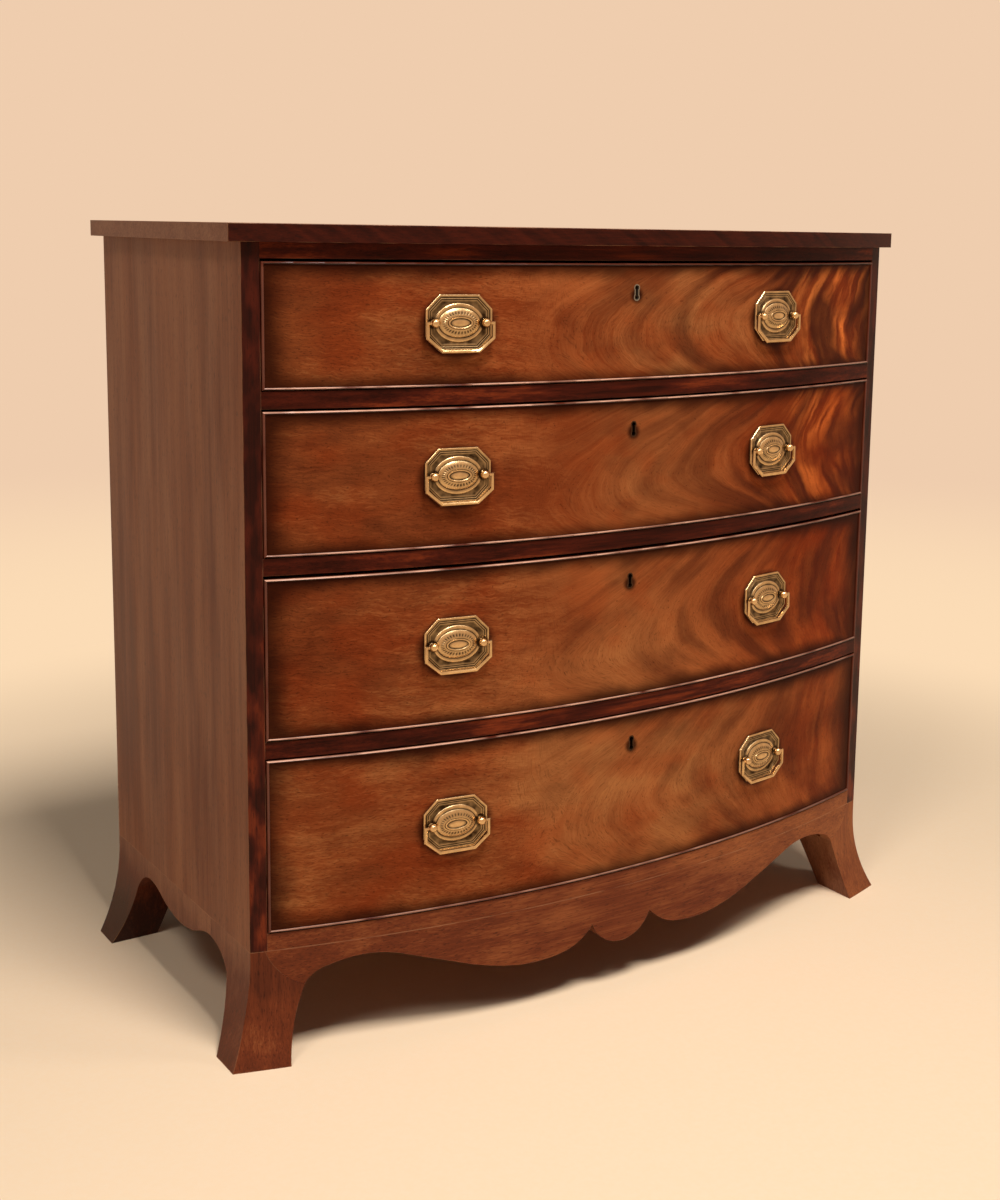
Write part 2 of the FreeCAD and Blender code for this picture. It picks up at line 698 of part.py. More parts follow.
def make_side_aprons():
    """Shaped aprons between the front and rear feet."""
    near, far = "corner_y + ", "back_y - "
    edge = [(near + "side_arch", "base_height"),
            (near + "side_arch", drop("side_arch_drop"), "lobe_end_radius", "left"),
            (near + "side_lobe", drop("side_lobe_drop"), "side_lobe_radius", "right"),
            (far + "side_lobe", drop("side_lobe_drop"), "lobe_end_radius", "left"),
            (far + "side_arch", drop("side_arch_drop")),
            (far + "side_arch", "base_height")]
    right = slab("side_apron", edge, "YZ", ("half_width - side_apron_thick", "half_width"))
    keep("apron_right", right)
    keep("apron_left", mirrored("side_apron_left", right))


def make_blocks(rear_foot):
    """Small pine blocks glued inside the base, rear brackets and drawer stops."""
    z = (drop("block"), "base_height")
    pieces = []
    side_x = ("half_width - side_apron_thick - block", "half_width - side_apron_thick")
    for sign in "-+":
        middle = f"(corner_y + side_depth / 2 {sign} side_block_pitch / 2)"
        block = box("side_block", side_x,
                    (f"{middle} - block_long / 2", f"{middle} + block_long / 2"), z)
        pieces += [block, mirrored("side_block_left", block)]
    inside = column("apron_inside", "bow_radius - apron_thick", z)
    for count in range((FRONT_BLOCKS + 1) // 2):
        middle = f"{count} * front_block_pitch"
        face = bow_y("bow_radius - apron_thick", f"{middle} + block_long / 2")
        blank = box("front_block_box",
                    (f"{middle} - block_long / 2", f"{middle} + block_long / 2"),
                    ("front_y", f"{face} + block"), z)
        block = common("front_block", blank, inside)
        pieces.append(block)
        if count:
            pieces.append(mirrored("front_block_left", block))
    corner = "half_width - side_thick"
    bracket = slab("rear_bracket_view",
                   [(f"{corner} - brace_wide", "base_height"),
                    (corner, "brace_up"),
                    (corner, "base_height")],
                   "XZ", ("back_y - back_clear - brace_thick", "back_y - back_clear"))
    bracket = cut("rear_bracket", bracket, rear_foot)
    pieces += [bracket, mirrored("rear_bracket_left", bracket)]
    for drawer in DRAWERS:
        floor = f"floor_{drawer}"
        stop = box(f"drawer_stop_{drawer}",
                   ("stop_across - stop_wide / 2", "stop_across + stop_wide / 2"),
                   ("stop_y", "stop_y + stop_deep"), (floor, f"{floor} + stop_high"))
        pieces += [stop, mirrored(f"drawer_stop_left_{drawer}", stop)]
    keep("blocks_and_stops", pieces)


# ---------------------------------------------------------------- handles

def oval(name, body, wide, high, rise, seat):
    """Half of an ellipsoid standing on a plate, its crown towards -Y."""
    dome = body.newObject("PartDesign::AdditiveEllipsoid", name)
    dome.Angle1 = 0
    dome.Angle2 = 90
    dome.Placement.Rotation = FreeCAD.Rotation(V(1, 0, 0), 90)
    bind(dome, Radius1=f"({rise}) - ({seat})", Radius2=f"({wide}) / 2",
         Radius3=f"({high}) / 2")
    place(dome, y=f"-({seat})")


def octagon(inset):
    """The plate's outline, drawn in by a distance."""
    across = f"(plate_wide / 2 - {inset})"
    up = f"(plate_high / 2 - {inset})"
    corner = f"(plate_corner - {inset} * (2 - sqrt(2)))"
    right = [(f"{across} - {corner}", f"-{up}"), (across, f"-{up} + {corner}"),
             (across, f"{up} - {corner}"), (f"{across} - {corner}", up)]
    left = [(f"-({x})", y) for x, y in reversed(right)]
    return right + left


def pad(name, body, points, length):
    """An outline on the drawer's face, padded towards -Y."""
    sketch = outline(name + "_outline", points, "XZ", body=body)
    feature = body.newObject("PartDesign::Pad", name)
    feature.Profile = sketch
    bind(feature, Length=length)
    return feature


def make_plate():
    """Stepped octagonal plate with its oval boss, in the handle's own frame."""
    body = doc.addObject("PartDesign::Body", "plate_body")
    pad("plate_step", body, octagon("0"), "plate_base")
    pad("plate_raised", body, octagon("rim_step"), "plate_rim")
    doc.recompute()
    recess = outline("plate_recess_outline", octagon("rim_wide"), "XZ", body=body)
    recess.setExpression("AttachmentOffset.Base.z", bound("plate_field"))
    pocket = body.newObject("PartDesign::Pocket", "plate_recess")
    pocket.Profile = recess
    pocket.Reversed = True
    bind(pocket, Length="plate_rim - plate_field")
    oval("plate_boss", body, "boss_wide", "boss_high", "boss_rise", "0")
    oval("plate_eye", body, "eye_wide", "eye_high", "eye_rise", "eye_seat")
    doc.recompute()
    holes = [rod(f"plate_hole_{side}", "stem_radius + stem_gap", "-boss_rise", "margin",
                 "y", (f"{side} * post_half", "0")) for side in (-1, 1)]
    return cut("plate", body, *holes)


def make_post():
    """Turned post: stem, collar, neck and ball, with the bore for the bail's pin."""
    body = doc.addObject("PartDesign::Body", "post_body")
    neck_end = "-(pivot_stand - sqrt(ball_radius ^ 2 - neck_radius ^ 2))"
    points = [("0", "front_thick + stem_end"),
              ("0", "-(pivot_stand + ball_radius)", "ball_radius", "right"),
              ("neck_radius", neck_end),
              ("neck_radius", "-(plate_field + collar_thick)"),
              ("collar_radius", "-(plate_field + collar_thick)"),
              ("collar_radius", "-plate_field"),
              ("stem_radius", "-plate_field"),
              ("stem_radius", "front_thick + stem_end")]
    sketch = outline("post_profile", points, "XY", body=body)
    turned = body.newObject("PartDesign::Revolution", "post_turned")
    turned.Profile = sketch
    turned.ReferenceAxis = (sketch, ["V_Axis"])
    turned.Angle = 360
    doc.recompute()
    bore = rod("post_bore", "pin_radius + pin_gap", "pin_inset - pin_gap",
               "ball_radius + margin", "x", ("-pivot_stand", "0"))
    return cut("post", body, bore)


def make_bail():
    """Cast bail with mitred corners and its two pivot pins, hanging from the pivot axis."""
    start = "post_half + ball_radius + bail_gap"
    right = [(start, "0"), ("bail_half", "0"), ("bail_half", "-bail_arm"),
             ("bail_grip_half", "-bail_drop")]
    left = [(f"-({x})", z) for x, z in reversed(right)]
    spine = outline("bail_spine", right + left, "XZ", closed=False)
    section = doc.addObject("Part::Circle", "bail_section")
    section.Placement.Rotation = FreeCAD.Rotation(V(0, 1, 0), 90)
    bind(section, Radius="bail_radius")
    place(section, x=start)
    swept = doc.addObject("Part::Sweep", "bail_rod")
    swept.Sections = [section]
    swept.Spine = (spine, [f"Edge{k + 1}" for k in range(len(right) + len(left) - 1)])
    swept.Solid = True
    swept.Transition = "Right corner"
    pin = rod("bail_pin", "pin_radius", "post_half + pin_inset", start + " + 1", "x",
              ("0", "0"))
    return fuse("bail", swept, pin, mirrored("bail_pin_left", pin))


def make_handle():
    """The still half of a handle and its drill, each in the handle's own frame."""
    plate = make_plate()
    post = make_post()
    nut = box("nut", ("-nut_wide / 2", "nut_wide / 2"),
              ("front_thick + nut_gap", "front_thick + nut_gap + nut_thick"),
              ("-nut_wide / 2", "nut_wide / 2"))
    stem = rod("nut_hole", "stem_radius", "0", "front_thick + stem_end", "y", ("0", "0"))
    nut = cut("nut_drilled", nut, stem)
    drill = rod("stem_drill", "stem_radius + stem_gap", "-pivot_stand",
                "front_thick + stem_end", "y", ("0", "0"))
    pieces, drills = [plate], []
    for side, turn in (("right", 0), ("left", 180)):
        sign = "-" if turn else ""
        for source, into in ((post, pieces), (nut, pieces), (drill, drills)):
            copy = linked(f"{source.Name}_{side}", source)
            copy.Placement.Rotation = FreeCAD.Rotation(V(0, 1, 0), turn)
            into.append(place(copy, x=sign + "post_half"))
    return group("handle_mount", *pieces), group("handle_drills", *drills)


def on_drawer(name, source, drawer, side, stand="0"):
    """A link to a handle piece, square to the bow at one handle's place."""
    copy = linked(name, source)
    copy.Placement.Rotation = FreeCAD.Rotation(V(0, 0, 1), 0.1)
    turn = f"{side} * handle_turn"
    copy.setExpression("Placement.Rotation.Angle", bound(turn))
    middle = f"(floor_{drawer} + low_gap + head_{drawer} - head_gap_{drawer}) / 2"
    return place(copy, f"{side} * (handle_across + ({stand}) * handle_across / bow_radius)",
                 f"handle_y - ({stand}) * sqrt(1 - (handle_across / bow_radius) ^ 2)",
                 f"{middle} + handle_up")


# ---------------------------------------------------------------- drawers

def cockbead(drawer, low, high):
    """Round nosed strips round a drawer front, mitred at the corners."""
    name = f"bead_{drawer}"
    across = ("-drawer_half", "drawer_half")
    near = ("front_y - margin", "shoulder_y + margin")
    inside = "drawer_half - bead_thick"
    mitre = slab(name + "_mitre",
                 [("drawer_half", f"{low} + mitre_toe"),
                  ("drawer_half", f"{high} - mitre_toe"),
                  (inside + " + mitre_toe", f"{high} - bead_thick"),
                  (inside, f"{high} - bead_thick"),
                  (inside, f"{low} + bead_thick"),
                  (inside + " + mitre_toe", f"{low} + bead_thick")], "XZ", near)
    mitre_left = mirrored(name + "_mitre_left", mitre)
    middle = "(drawer_half - nose_radius)"
    nose_y = bow_y("nose_bow", middle)
    upright = cut(name + "_upright",
                  box(name + "_upright_box", (inside, "drawer_half"),
                      (nose_y, "shoulder_y"), (low, high)),
                  column(name + "_upright_back", "bow_radius - bead_deep", (low, high)))
    nose = column(name + "_upright_nose", "nose_radius", (low, high), middle, nose_y)
    right = common(name + "_right", fuse(name + "_right_blank", upright, nose), mitre)
    strips = [right, mirrored(name + "_left", right)]
    for end, z, inner in (("low", (low, f"{low} + bead_thick"), "bow_radius - bead_deep"),
                          ("high", (f"{high} - bead_thick", high), "lining_radius")):
        strip = turned(f"{name}_{end}_strip",
                       [(inner, z[0]),
                        ("nose_bow", z[0], "nose_radius", "right"),
                        ("bow_radius + bead_proud", f"{z[0]} + nose_radius",
                         "nose_radius", "right"),
                        ("nose_bow", z[1]),
                        (inner, z[1])])
        blank = common(f"{name}_{end}_blank", box(f"{name}_{end}_box", across, near, z),
                       strip)
        strips.append(cut(f"{name}_{end}", blank, mitre, mitre_left))
    return strips


def keyhole(name, drawer, high, grow, y):
    """Keyhole seen from the front, larger all round by a distance, between two Y."""
    x = lock_middle(drawer)
    middle = f"({high} - key_drop_{drawer})"
    top = rod(name + "_top", f"key_top_radius + {grow}", y[0], y[1], "y",
              (x, f"{middle} + key_high / 2"))
    foot = rod(name + "_foot", f"key_foot_radius + {grow}", y[0], y[1], "y",
               (x, f"{middle} - key_high / 2"))
    half = f"(key_waist + {grow})"
    slot = box(name + "_slot", (f"{x} - {half}", f"{x} + {half}"), y,
               (f"{middle} - key_high / 2", f"{middle} + key_high / 2"))
    return fuse(name, top, slot, foot)


def make_lock(drawer, high):
    """Lock let into the inside of a drawer front, its brass thread, and the bolt."""
    x = lock_middle(drawer)
    name = f"lock_{drawer}"
    across = (f"{x} - lock_wide / 2", f"{x} + lock_wide / 2")
    case = box(name + "_case", across, ("lock_face_y - lock_deep", "lock_face_y"),
               (f"{high} - lock_high", high))
    selvage = box(name + "_selvage", across, ("lock_face_y - selvage_deep", "lock_face_y"),
                  (f"{high} - selvage_thick", high))
    seat = fuse(name + "_seat", case, selvage)
    key = keyhole(name + "_key", drawer, high, "0",
                  ("front_y - margin", "lock_face_y - lock_deep / 3"))
    half = "(bolt_wide / 2 + bolt_gap)"
    thick = "(bolt_thick / 2 + bolt_gap)"
    well = box(name + "_well", (f"{x} - {half}", f"{x} + {half}"),
               (f"bolt_y - {thick}", f"bolt_y + {thick}"),
               (f"{high} - bolt_long - bolt_gap", f"{high} + margin"))
    metal = cut(name + "_metal", seat, well, key)
    thread = cut(name + "_thread",
                 keyhole(name + "_thread_blank", drawer, high, "escutcheon_wall",
                         ("front_y - escutcheon_proud", "front_y + escutcheon_deep")), key)
    rim = keyhole(name + "_thread_seat", drawer, high, "escutcheon_wall",
                  ("front_y - margin", "front_y + escutcheon_deep"))
    bolt = box(f"bolt_{drawer}", (f"{x} - bolt_wide / 2", f"{x} + bolt_wide / 2"),
               ("bolt_y - bolt_thick / 2", "bolt_y + bolt_thick / 2"),
               (f"{high} - bolt_long", high))
    keep(f"drawer_{drawer}_lock", (metal, thread))
    keep(f"drawer_{drawer}_bolt", (bolt,))
    return seat, [key, rim]


def pins(name, low, high, narrow_y, wide_y):
    """Dovetail pins across the right side board, evenly spaced up its height."""
    count = max(2, round((number(high) - number(low)) / number("dovetail_pitch")))
    pitch = f"((({high}) - ({low})) / {count})"
    wedges = []
    for place_up in range(count):
        middle = f"({low} + ({place_up} + 0.5) * {pitch})"
        wedge = doc.addObject("Part::Wedge", f"{name}_{place_up + 1}")
        bind(wedge, Xmin="lining_half - 1", X2min="lining_half - 1",
             Xmax="drawer_half + 1", X2max="drawer_half + 1",
             Ymin=narrow_y, Ymax=wide_y,
             Zmin=f"{middle} - pin_narrow / 2", Zmax=f"{middle} + pin_narrow / 2",
             Z2min=f"{middle} - pin_wide / 2", Z2max=f"{middle} + pin_wide / 2")
        wedges.append(wedge)
    return group(name, *wedges)


def make_drawer(drawer, handle, drills, bail):
    """One drawer with its furniture."""
    name = f"drawer_{drawer}"
    low = f"(floor_{drawer} + low_gap)"
    high = f"(head_{drawer} - head_gap_{drawer})"
    side_high = f"({high} - bead_thick)"
    across = ("-drawer_half", "drawer_half")
    front_zone = ("front_y - margin", "shoulder_y + margin")
    strips = cockbead(drawer, low, high)
    blank = common(name + "_front_blank",
                   box(name + "_front_box", across, front_zone, (low, side_high)),
                   ring(name + "_front_ring", "bow_radius", "lining_radius",
                        (low, side_high)))
    run = f"(floor_{drawer} + run_gap)"
    back_z = (f"{low} + drawer_floor_up + drawer_floor_thick", f"{high} - drawer_back_drop")
    back_blank = box(name + "_back_blank", across,
                     ("drawer_back_y - drawer_back_thick", "drawer_back_y"), back_z)
    floor_half = "(lining_half + groove_deep)"
    floor_z = (f"{low} + drawer_floor_up", f"{low} + drawer_floor_up + drawer_floor_thick")
    floor = common(name + "_floor",
                   box(name + "_floor_box", ("-" + floor_half, floor_half),
                       ("front_y", "drawer_back_y"), floor_z),
                   column(name + "_floor_bow", "lining_radius + groove_deep", floor_z))
    side_blank = box(name + "_side_blank", ("lining_half", "drawer_half"),
                     ("tail_tip_y", "drawer_back_y"), (run, side_high))
    front_pins = common(name + "_front_pins",
                        pins(name + "_front_wedges", low, side_high, "tail_tip_y",
                             "shoulder_y"), blank)
    rear_pins = common(name + "_rear_pins",
                       pins(name + "_rear_wedges", back_z[0], back_z[1],
                            "drawer_back_y - drawer_back_thick", "drawer_back_y"),
                       back_blank)
    side = cut(name + "_side", side_blank, front_pins, rear_pins, floor)
    side_left = mirrored(name + "_side_left", side)
    seat, key_tools = make_lock(drawer, high)
    holes = [on_drawer(f"{name}_drills_{sign}", drills, drawer, sign) for sign in (-1, 1)]
    front = cut(name + "_front_cut", blank, *strips[:3], side, side_left, floor, seat,
                *key_tools, *holes)
    strips[3] = cut(name + "_bead_high_cut", strips[3], seat)
    keep(name + "_front", front)
    keep(name + "_cockbead", strips)
    keep(name + "_sides", (side, side_left))
    keep(name + "_back", cut(name + "_back_cut", back_blank, side, side_left))
    keep(name + "_bottom", floor)
    keep(name + "_handle_mounts",
         [on_drawer(f"{name}_mount_{word}", handle, drawer, sign)
          for word, sign in (("left", -1), ("right", 1))])
    for word, sign in (("left", -1), ("right", 1)):
        hung = on_drawer(f"{name}_hung_{word}", bail, drawer, sign, "pivot_stand")
        keep(f"{name}_bail_{word}", (hung,))


# ---------------------------------------------------------------- build

def check_model():
    """Stop with the names of anything that failed."""
    doc.recompute()
    failed = [o.Name for o in doc.Objects
              if "Invalid" in o.State or "Error" in o.State]
    for label, piece in nodes.items():
        shape = piece.Shape
        if shape.isNull() or not shape.isValid() or not shape.Solids:
            failed.append(label)
    if failed:
        raise RuntimeError("failed: " + ", ".join(failed))


def write_nodes():
    """One STEP file for each piece."""
    os.makedirs("parts", exist_ok=True)
    for label, piece in nodes.items():
        piece.Shape.exportStep(f"parts/{label}.step")
        print(label, len(piece.Shape.Solids), round(piece.Shape.Volume / 1000, 2), "cm3")


make_carcass()
rear = make_feet()
make_front_apron()
make_side_aprons()
make_blocks(rear)
handle_mount, handle_drills = make_handle()
bail_piece = make_bail()
for drawer_number in DRAWERS:
    make_drawer(drawer_number, handle_mount, handle_drills, bail_piece)
check_model()
write_nodes()
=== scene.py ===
import json
import math

import bmesh
import bpy
from bpy.props import FloatProperty, FloatVectorProperty, PointerProperty
from mathutils import Matrix, Vector


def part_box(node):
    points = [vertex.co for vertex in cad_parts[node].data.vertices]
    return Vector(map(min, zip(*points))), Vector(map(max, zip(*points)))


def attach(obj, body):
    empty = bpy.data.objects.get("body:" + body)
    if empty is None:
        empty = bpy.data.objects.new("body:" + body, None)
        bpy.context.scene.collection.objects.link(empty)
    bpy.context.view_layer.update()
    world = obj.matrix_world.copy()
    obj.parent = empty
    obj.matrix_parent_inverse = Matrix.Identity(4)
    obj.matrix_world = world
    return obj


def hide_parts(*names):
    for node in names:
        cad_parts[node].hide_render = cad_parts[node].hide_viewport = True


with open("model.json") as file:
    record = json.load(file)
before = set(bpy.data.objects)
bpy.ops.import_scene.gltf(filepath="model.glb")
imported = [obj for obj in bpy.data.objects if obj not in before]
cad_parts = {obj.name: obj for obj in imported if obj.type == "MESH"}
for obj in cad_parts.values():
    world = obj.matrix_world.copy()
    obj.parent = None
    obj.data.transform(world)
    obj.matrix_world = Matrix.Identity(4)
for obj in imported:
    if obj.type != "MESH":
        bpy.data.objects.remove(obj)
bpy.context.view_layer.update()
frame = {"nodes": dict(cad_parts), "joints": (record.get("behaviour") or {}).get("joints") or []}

bl_info = {
    "name": "Bow front chest of drawers",
    "version": (1, 0, 0),
    "blender": (4, 5, 0),
    "location": "View3D > Sidebar > Chest",
    "description": "Dresses a bow front mahogany chest and makes its cast brass handles",
    "category": "Object",
}

MM = 0.001
COLOURS = {"data_type": "RGBA", "out": 2}  # settings of a Mix node that mixes two colours
DRAWERS = (1, 2, 3, 4)
SIDES = ("left", "right")

AROUND = 128  # points in each ring of a handle plate
REEDS = 32  # round the boss of a handle plate
FLATS = 8  # filed along a bail

# The fronts, rails and beads are bowed about one upright line, this many millimetres behind
# the chest's middle. One thing ends and the next begins between two radii from that line.
BOW_BEHIND = 1325.2
THREAD = 1556.0, 1557.0  # from a lock's iron to the brass thread
FACING = 1561.9, 1562.4  # from a rail's pine to its mahogany facing
VENEER = 1564.6, 1565.0  # from a drawer front's pine to its veneer
NOSE = 1566.3, 1567.0  # from the flat of a cockbead to its nose

# More of the chest's sizes that the looks go by, in millimetres.
BASE_TOP = 129.0  # where the aprons and feet are joined to the carcass
BACK_BOARDS = 4
HANDLE_ACROSS = 231.0  # from the chest's middle to a handle's middle
GRIME = 39.5, 32.5  # half as wide and high as the wax round a handle's plate

# The figure of the veneer on each drawer front, in millimetres where it is a place:
#   apex    height of the curves' tips over the front's middle, at left and at right
#   bend    how tightly the curves turn, at left and at right, per millimetre
#   depth   contrast of the curves; cloud is that of the dark clouds along them
#   gold_sheen  where the gold ripples, a painted sheen, begin right of the middle; bright is how
#   strong they are
#   lift    how much lighter the whole front is
#   red     share of red left of the middle, where the right one begins, and its share
#   lock    keyhole's place right of the middle; key is its depth under the top edge
FIGURES = {
    1: {"apex": (-14, -6), "bend": (0.018, 0.020), "depth": 0.85, "cloud": 1.0, "gold_sheen": 300,
        "bright": 0.95, "lift": 0.06, "red": (0.42, 60, 0.75), "lock": 0, "key": 34},
    2: {"apex": (-30, 0), "bend": (0.024, 0.022), "depth": 0.6, "cloud": 0.75, "gold_sheen": 290,
        "bright": 0.6, "lift": 0.02, "red": (0.35, -60, 0.88), "lock": 0, "key": 36},
    3: {"apex": (-40, -4), "bend": (0.024, 0.012), "depth": 0.65, "cloud": 0.7, "gold_sheen": 320,
        "bright": 0.3, "lift": 0.08, "red": (0.2, -60, 0.88), "lock": 0, "key": 38},
    4: {"apex": (-30, 0), "bend": (0.014, 0.010), "depth": 0.7, "cloud": 0.5, "gold_sheen": 300,
        "bright": 0.15, "lift": 0.11, "red": (0.0, 100, 0.6), "lock": 8, "key": 38},
}


# ---------------------------------------------------------------- sizes and colours

def linear(code):
    """An sRGB hex colour as linear red, green, blue and alpha."""
    parts = [int(code[k:k + 2], 16) / 255 for k in (1, 3, 5)]
    parts = [c / 12.92 if c <= 0.04045 else ((c + 0.055) / 1.055) ** 2.4 for c in parts]
    return (*parts, 1.0)


def tint(name, description, code):
    """A colour, which a user may change."""
    return FloatVectorProperty(name=name, description=description, subtype="COLOR", size=4,
                               min=0.0, max=1.0, default=linear(code))


def length(name, description, millimetres):
    """A length, which a user may change."""
    return FloatProperty(name=name, description=description, unit="LENGTH", min=0.0,
                         precision=5, default=millimetres * MM)


def lamp_power(name, description, watts):
    """The power of a lamp, which a user may change."""
    return FloatProperty(name=name, description=description, subtype="POWER", unit="POWER",
                         min=0.0, default=watts)


def camera_angle(name, description, degrees):
    """An angle of the camera, which a user may change."""
    return FloatProperty(name=name, description=description, subtype="ANGLE", unit="ROTATION",
                         default=math.radians(degrees))


class ChestMahogany(bpy.types.PropertyGroup):
    """Colours and polish of the solid mahogany."""
    # the side tones are painted lighter towards the top as a sheen, and again just above the base
    side_dark: tint("Side, dark", "Pores and dark lines of the side boards", "#40200f")
    side_mid: tint("Side", "Ground of the side boards", "#67331e")
    side_light: tint("Side, light", "Faded lines of the side boards", "#986548")
    front_dark: tint("Facings, dark", "Dark lines of the rails and stiles", "#180503")
    front_mid: tint("Facings", "Ground of the rails and stiles", "#4a190d")
    front_light: tint("Facings, light", "Ruby lines of the rails and stiles", "#7c3318")
    base_dark: tint("Base, dark", "Dark lines of the aprons and feet", "#35150c")
    base_mid: tint("Base", "Ground of the aprons and feet", "#6e331a")
    base_light: tint("Base, light", "Faded lines of the aprons and feet", "#a86236")
    worn: tint("Worn arris", "Bare wood where the polish is rubbed through", "#b07c56")
    bead: tint("Cockbead", "Cockbeads round the drawers", "#5c2412")
    # the pale nose of a cockbead is partly wear and partly a painted highlight
    bead_rub_and_highlight: tint("Cockbead, rubbed", "Nose of a cockbead where it is rubbed", "#dba588")
    arris: length("Arris", "Radius to which the edges are rubbed", 0.9)


class ChestVeneer(bpy.types.PropertyGroup):
    """Colours of the flame veneer on the drawer fronts."""
    shade: tint("Wax", "Old wax in the corners and round the brass", "#240a04")
    dark: tint("Dark", "Dark stripes of the figure", "#40180d")
    mid: tint("Ground", "Ground of the figure", "#854320")
    light: tint("Light", "Light stripes of the figure", "#c48049")
    # the gold is a painted sheen on the ripples
    gold_sheen: tint("Gold", "Brightest ripples near the right edge", "#f4a256")
    red: tint("Red", "Laid over the ground in patches, where the shellac is thick", "#f4ac84")


class ChestInside(bpy.types.PropertyGroup):
    """Colours of the oak and pine."""
    oak_dark: tint("Oak, dark", "Dark grain of the drawer linings", "#7f583a")
    oak_light: tint("Oak, light", "Light grain of the drawer linings", "#b68c64")
    pine_dark: tint("Pine, dark", "Late wood of the pine", "#7a4d2e")
    pine_light: tint("Pine, light", "Early wood of the pine", "#b58560")
    dust: tint("Dust", "Grey film on the old pine", "#74584a")


class ChestMetal(bpy.types.PropertyGroup):
    """Colours of the brass and iron."""
    brass: tint("Brass", "Rubbed high parts of the brass", "#e0bb88")
    # old brass also paints shade and dark reflections, besides tarnish
    old_brass: tint("Old brass", "Tarnished hollows of the brass", "#2f2012")
    iron: tint("Iron", "Filed iron of the locks", "#565049")
    rust: tint("Rust", "Brown film on the iron", "#4a2f20")


class ChestHandle(bpy.types.PropertyGroup):
    """Sizes of a handle."""
    wide: length("Plate width", "Octagonal plate, across", 79)
    high: length("Plate height", "Octagonal plate, up", 62)
    corner: length("Cut corner", "Cut corner of the plate", 16)
    posts: length("Posts", "Between the two posts", 60)
    stand: length("Pivot stand", "Bail pivot in front of the drawer", 7.5)
    ball: length("Ball", "Radius of a post's ball", 5)
    front: length("Drawer front", "Thickness that the posts pass through", 22)
    bail: length("Bail rod", "Radius of the bail", 2.1)
    arm_out: length("Arm", "Arm of the bail beyond a post", 9)
    arm_down: length("Arm drop", "Upright part of the bail's arm", 16.6)
    drop: length("Bail drop", "Pivot to the grip", 31)
    slant: length("Slant", "Sideways run of the slanted part", 17.5)


class ChestStage(bpy.types.PropertyGroup):
    """Floor, light and camera."""
    floor: tint("Floor", "Plain floor", "#fcdcb6")
    wall: tint("Background", "Plain background", "#efcdae")
    ambient: FloatProperty(name="Room light", description="Light from all round", min=0.0,
                           default=0.07)
    key: lamp_power("Key light", "Power of the large soft lamp", 98)
    fill: lamp_power("Fill light", "Power of the lamp on the other side", 40)
    window: lamp_power("Window", "Power of the small lamp that glints on brass", 14)
    eye: FloatVectorProperty(name="Camera", description="Place of the camera", subtype="XYZ",
                             unit="LENGTH", size=3, default=(-1.1501, -1.758, 0.932))
    turn: camera_angle("Turn", "Camera's turn to the right", 34.474)
    tip: camera_angle("Tip", "Camera's tip downwards", 8.984)
    roll: camera_angle("Roll", "Camera's roll", 0.966)
    lens: FloatProperty(name="Lens", description="Focal length in millimetres on a 36 mm sensor",
                        subtype="DISTANCE_CAMERA", unit="CAMERA", default=58.41)
    shift: FloatVectorProperty(name="Shift", description="Lens shift, as a share of the frame",
                               size=2, default=(-0.0569, -0.1172))


# ---------------------------------------------------------------- materials

def add(tree, kind, inputs=(), out=0, **settings):
    """Add a shader node with its settings, and link or set its inputs; gives an output.

    A Mix node takes its share at input 0, numbers at 2 and 3, vectors at 4 and 5 and colours
    at 6 and 7; a MapRange node its value, the range it comes from and the range it goes to.
    """
    made = tree.nodes.new("ShaderNode" + kind)
    for name, value in settings.items():
        setattr(made, name, value)
    for key, value in (inputs.items() if isinstance(inputs, dict) else enumerate(inputs)):
        if isinstance(value, bpy.types.NodeSocket):
            tree.links.new(value, made.inputs[key])
        elif value is not None:
            made.inputs[key].default_value = value
    return made.outputs[out] if made.outputs else made


def start(name):
    """A new empty material: itself, its tree, its place in millimetres, and x, y and z."""
    material = bpy.data.materials.new(name)
    material.use_nodes = True
    tree = material.node_tree
    tree.nodes.clear()
    metres = add(tree, "TexCoord", out="Object")
    place = add(tree, "VectorMath", {0: metres, "Scale": 1 / MM}, operation="SCALE")
    split = add(tree, "SeparateXYZ", (place,)).node
    return material, tree, place, split.outputs


def patches(tree, place, size, seed, low=0.32, high=0.68, detail=2.0, twist=0.0):
    """Soft patches as long, wide and high as size, in millimetres.

    The noise is 0 below low and 1 above high, so the two set how much is covered and how
    sharply; the seed moves it to a place of its own.
    """
    scaled = add(tree, "VectorMath", (place, [1 / s for s in size],
                                      (seed, seed * 1.7, seed * 2.3)), operation="MULTIPLY_ADD")
    noise = add(tree, "TexNoise", {"Vector": scaled, "Scale": 1.0, "Detail": detail,
                                   "Distortion": twist})
    return add(tree, "MapRange", (noise, low, high))


def finish(material, tree, colour, roughness, relief=None, depth=0.0, arris=0.0,
           specular=0.5, metallic=0.0):
    """The shader of a material, with the depth of its relief and the radius of its arrises.

    The woods keep the usual IOR of 1.5, and a low specular level where old wax dulls the gloss.
    """
    shader = add(tree, "BsdfPrincipled", {
        "Base Color": colour, "Roughness": roughness, "Specular IOR Level": specular,
        "Metallic": metallic}).node
    normal = add(tree, "Bevel", (arris,), samples=6) if arris else None
    if relief is not None:
        normal = add(tree, "Bump", {"Height": relief, "Distance": depth, "Normal": normal})
    if normal is not None:
        tree.links.new(normal, shader.inputs["Normal"])
    add(tree, "OutputMaterial", (shader.outputs[0],))
    return material


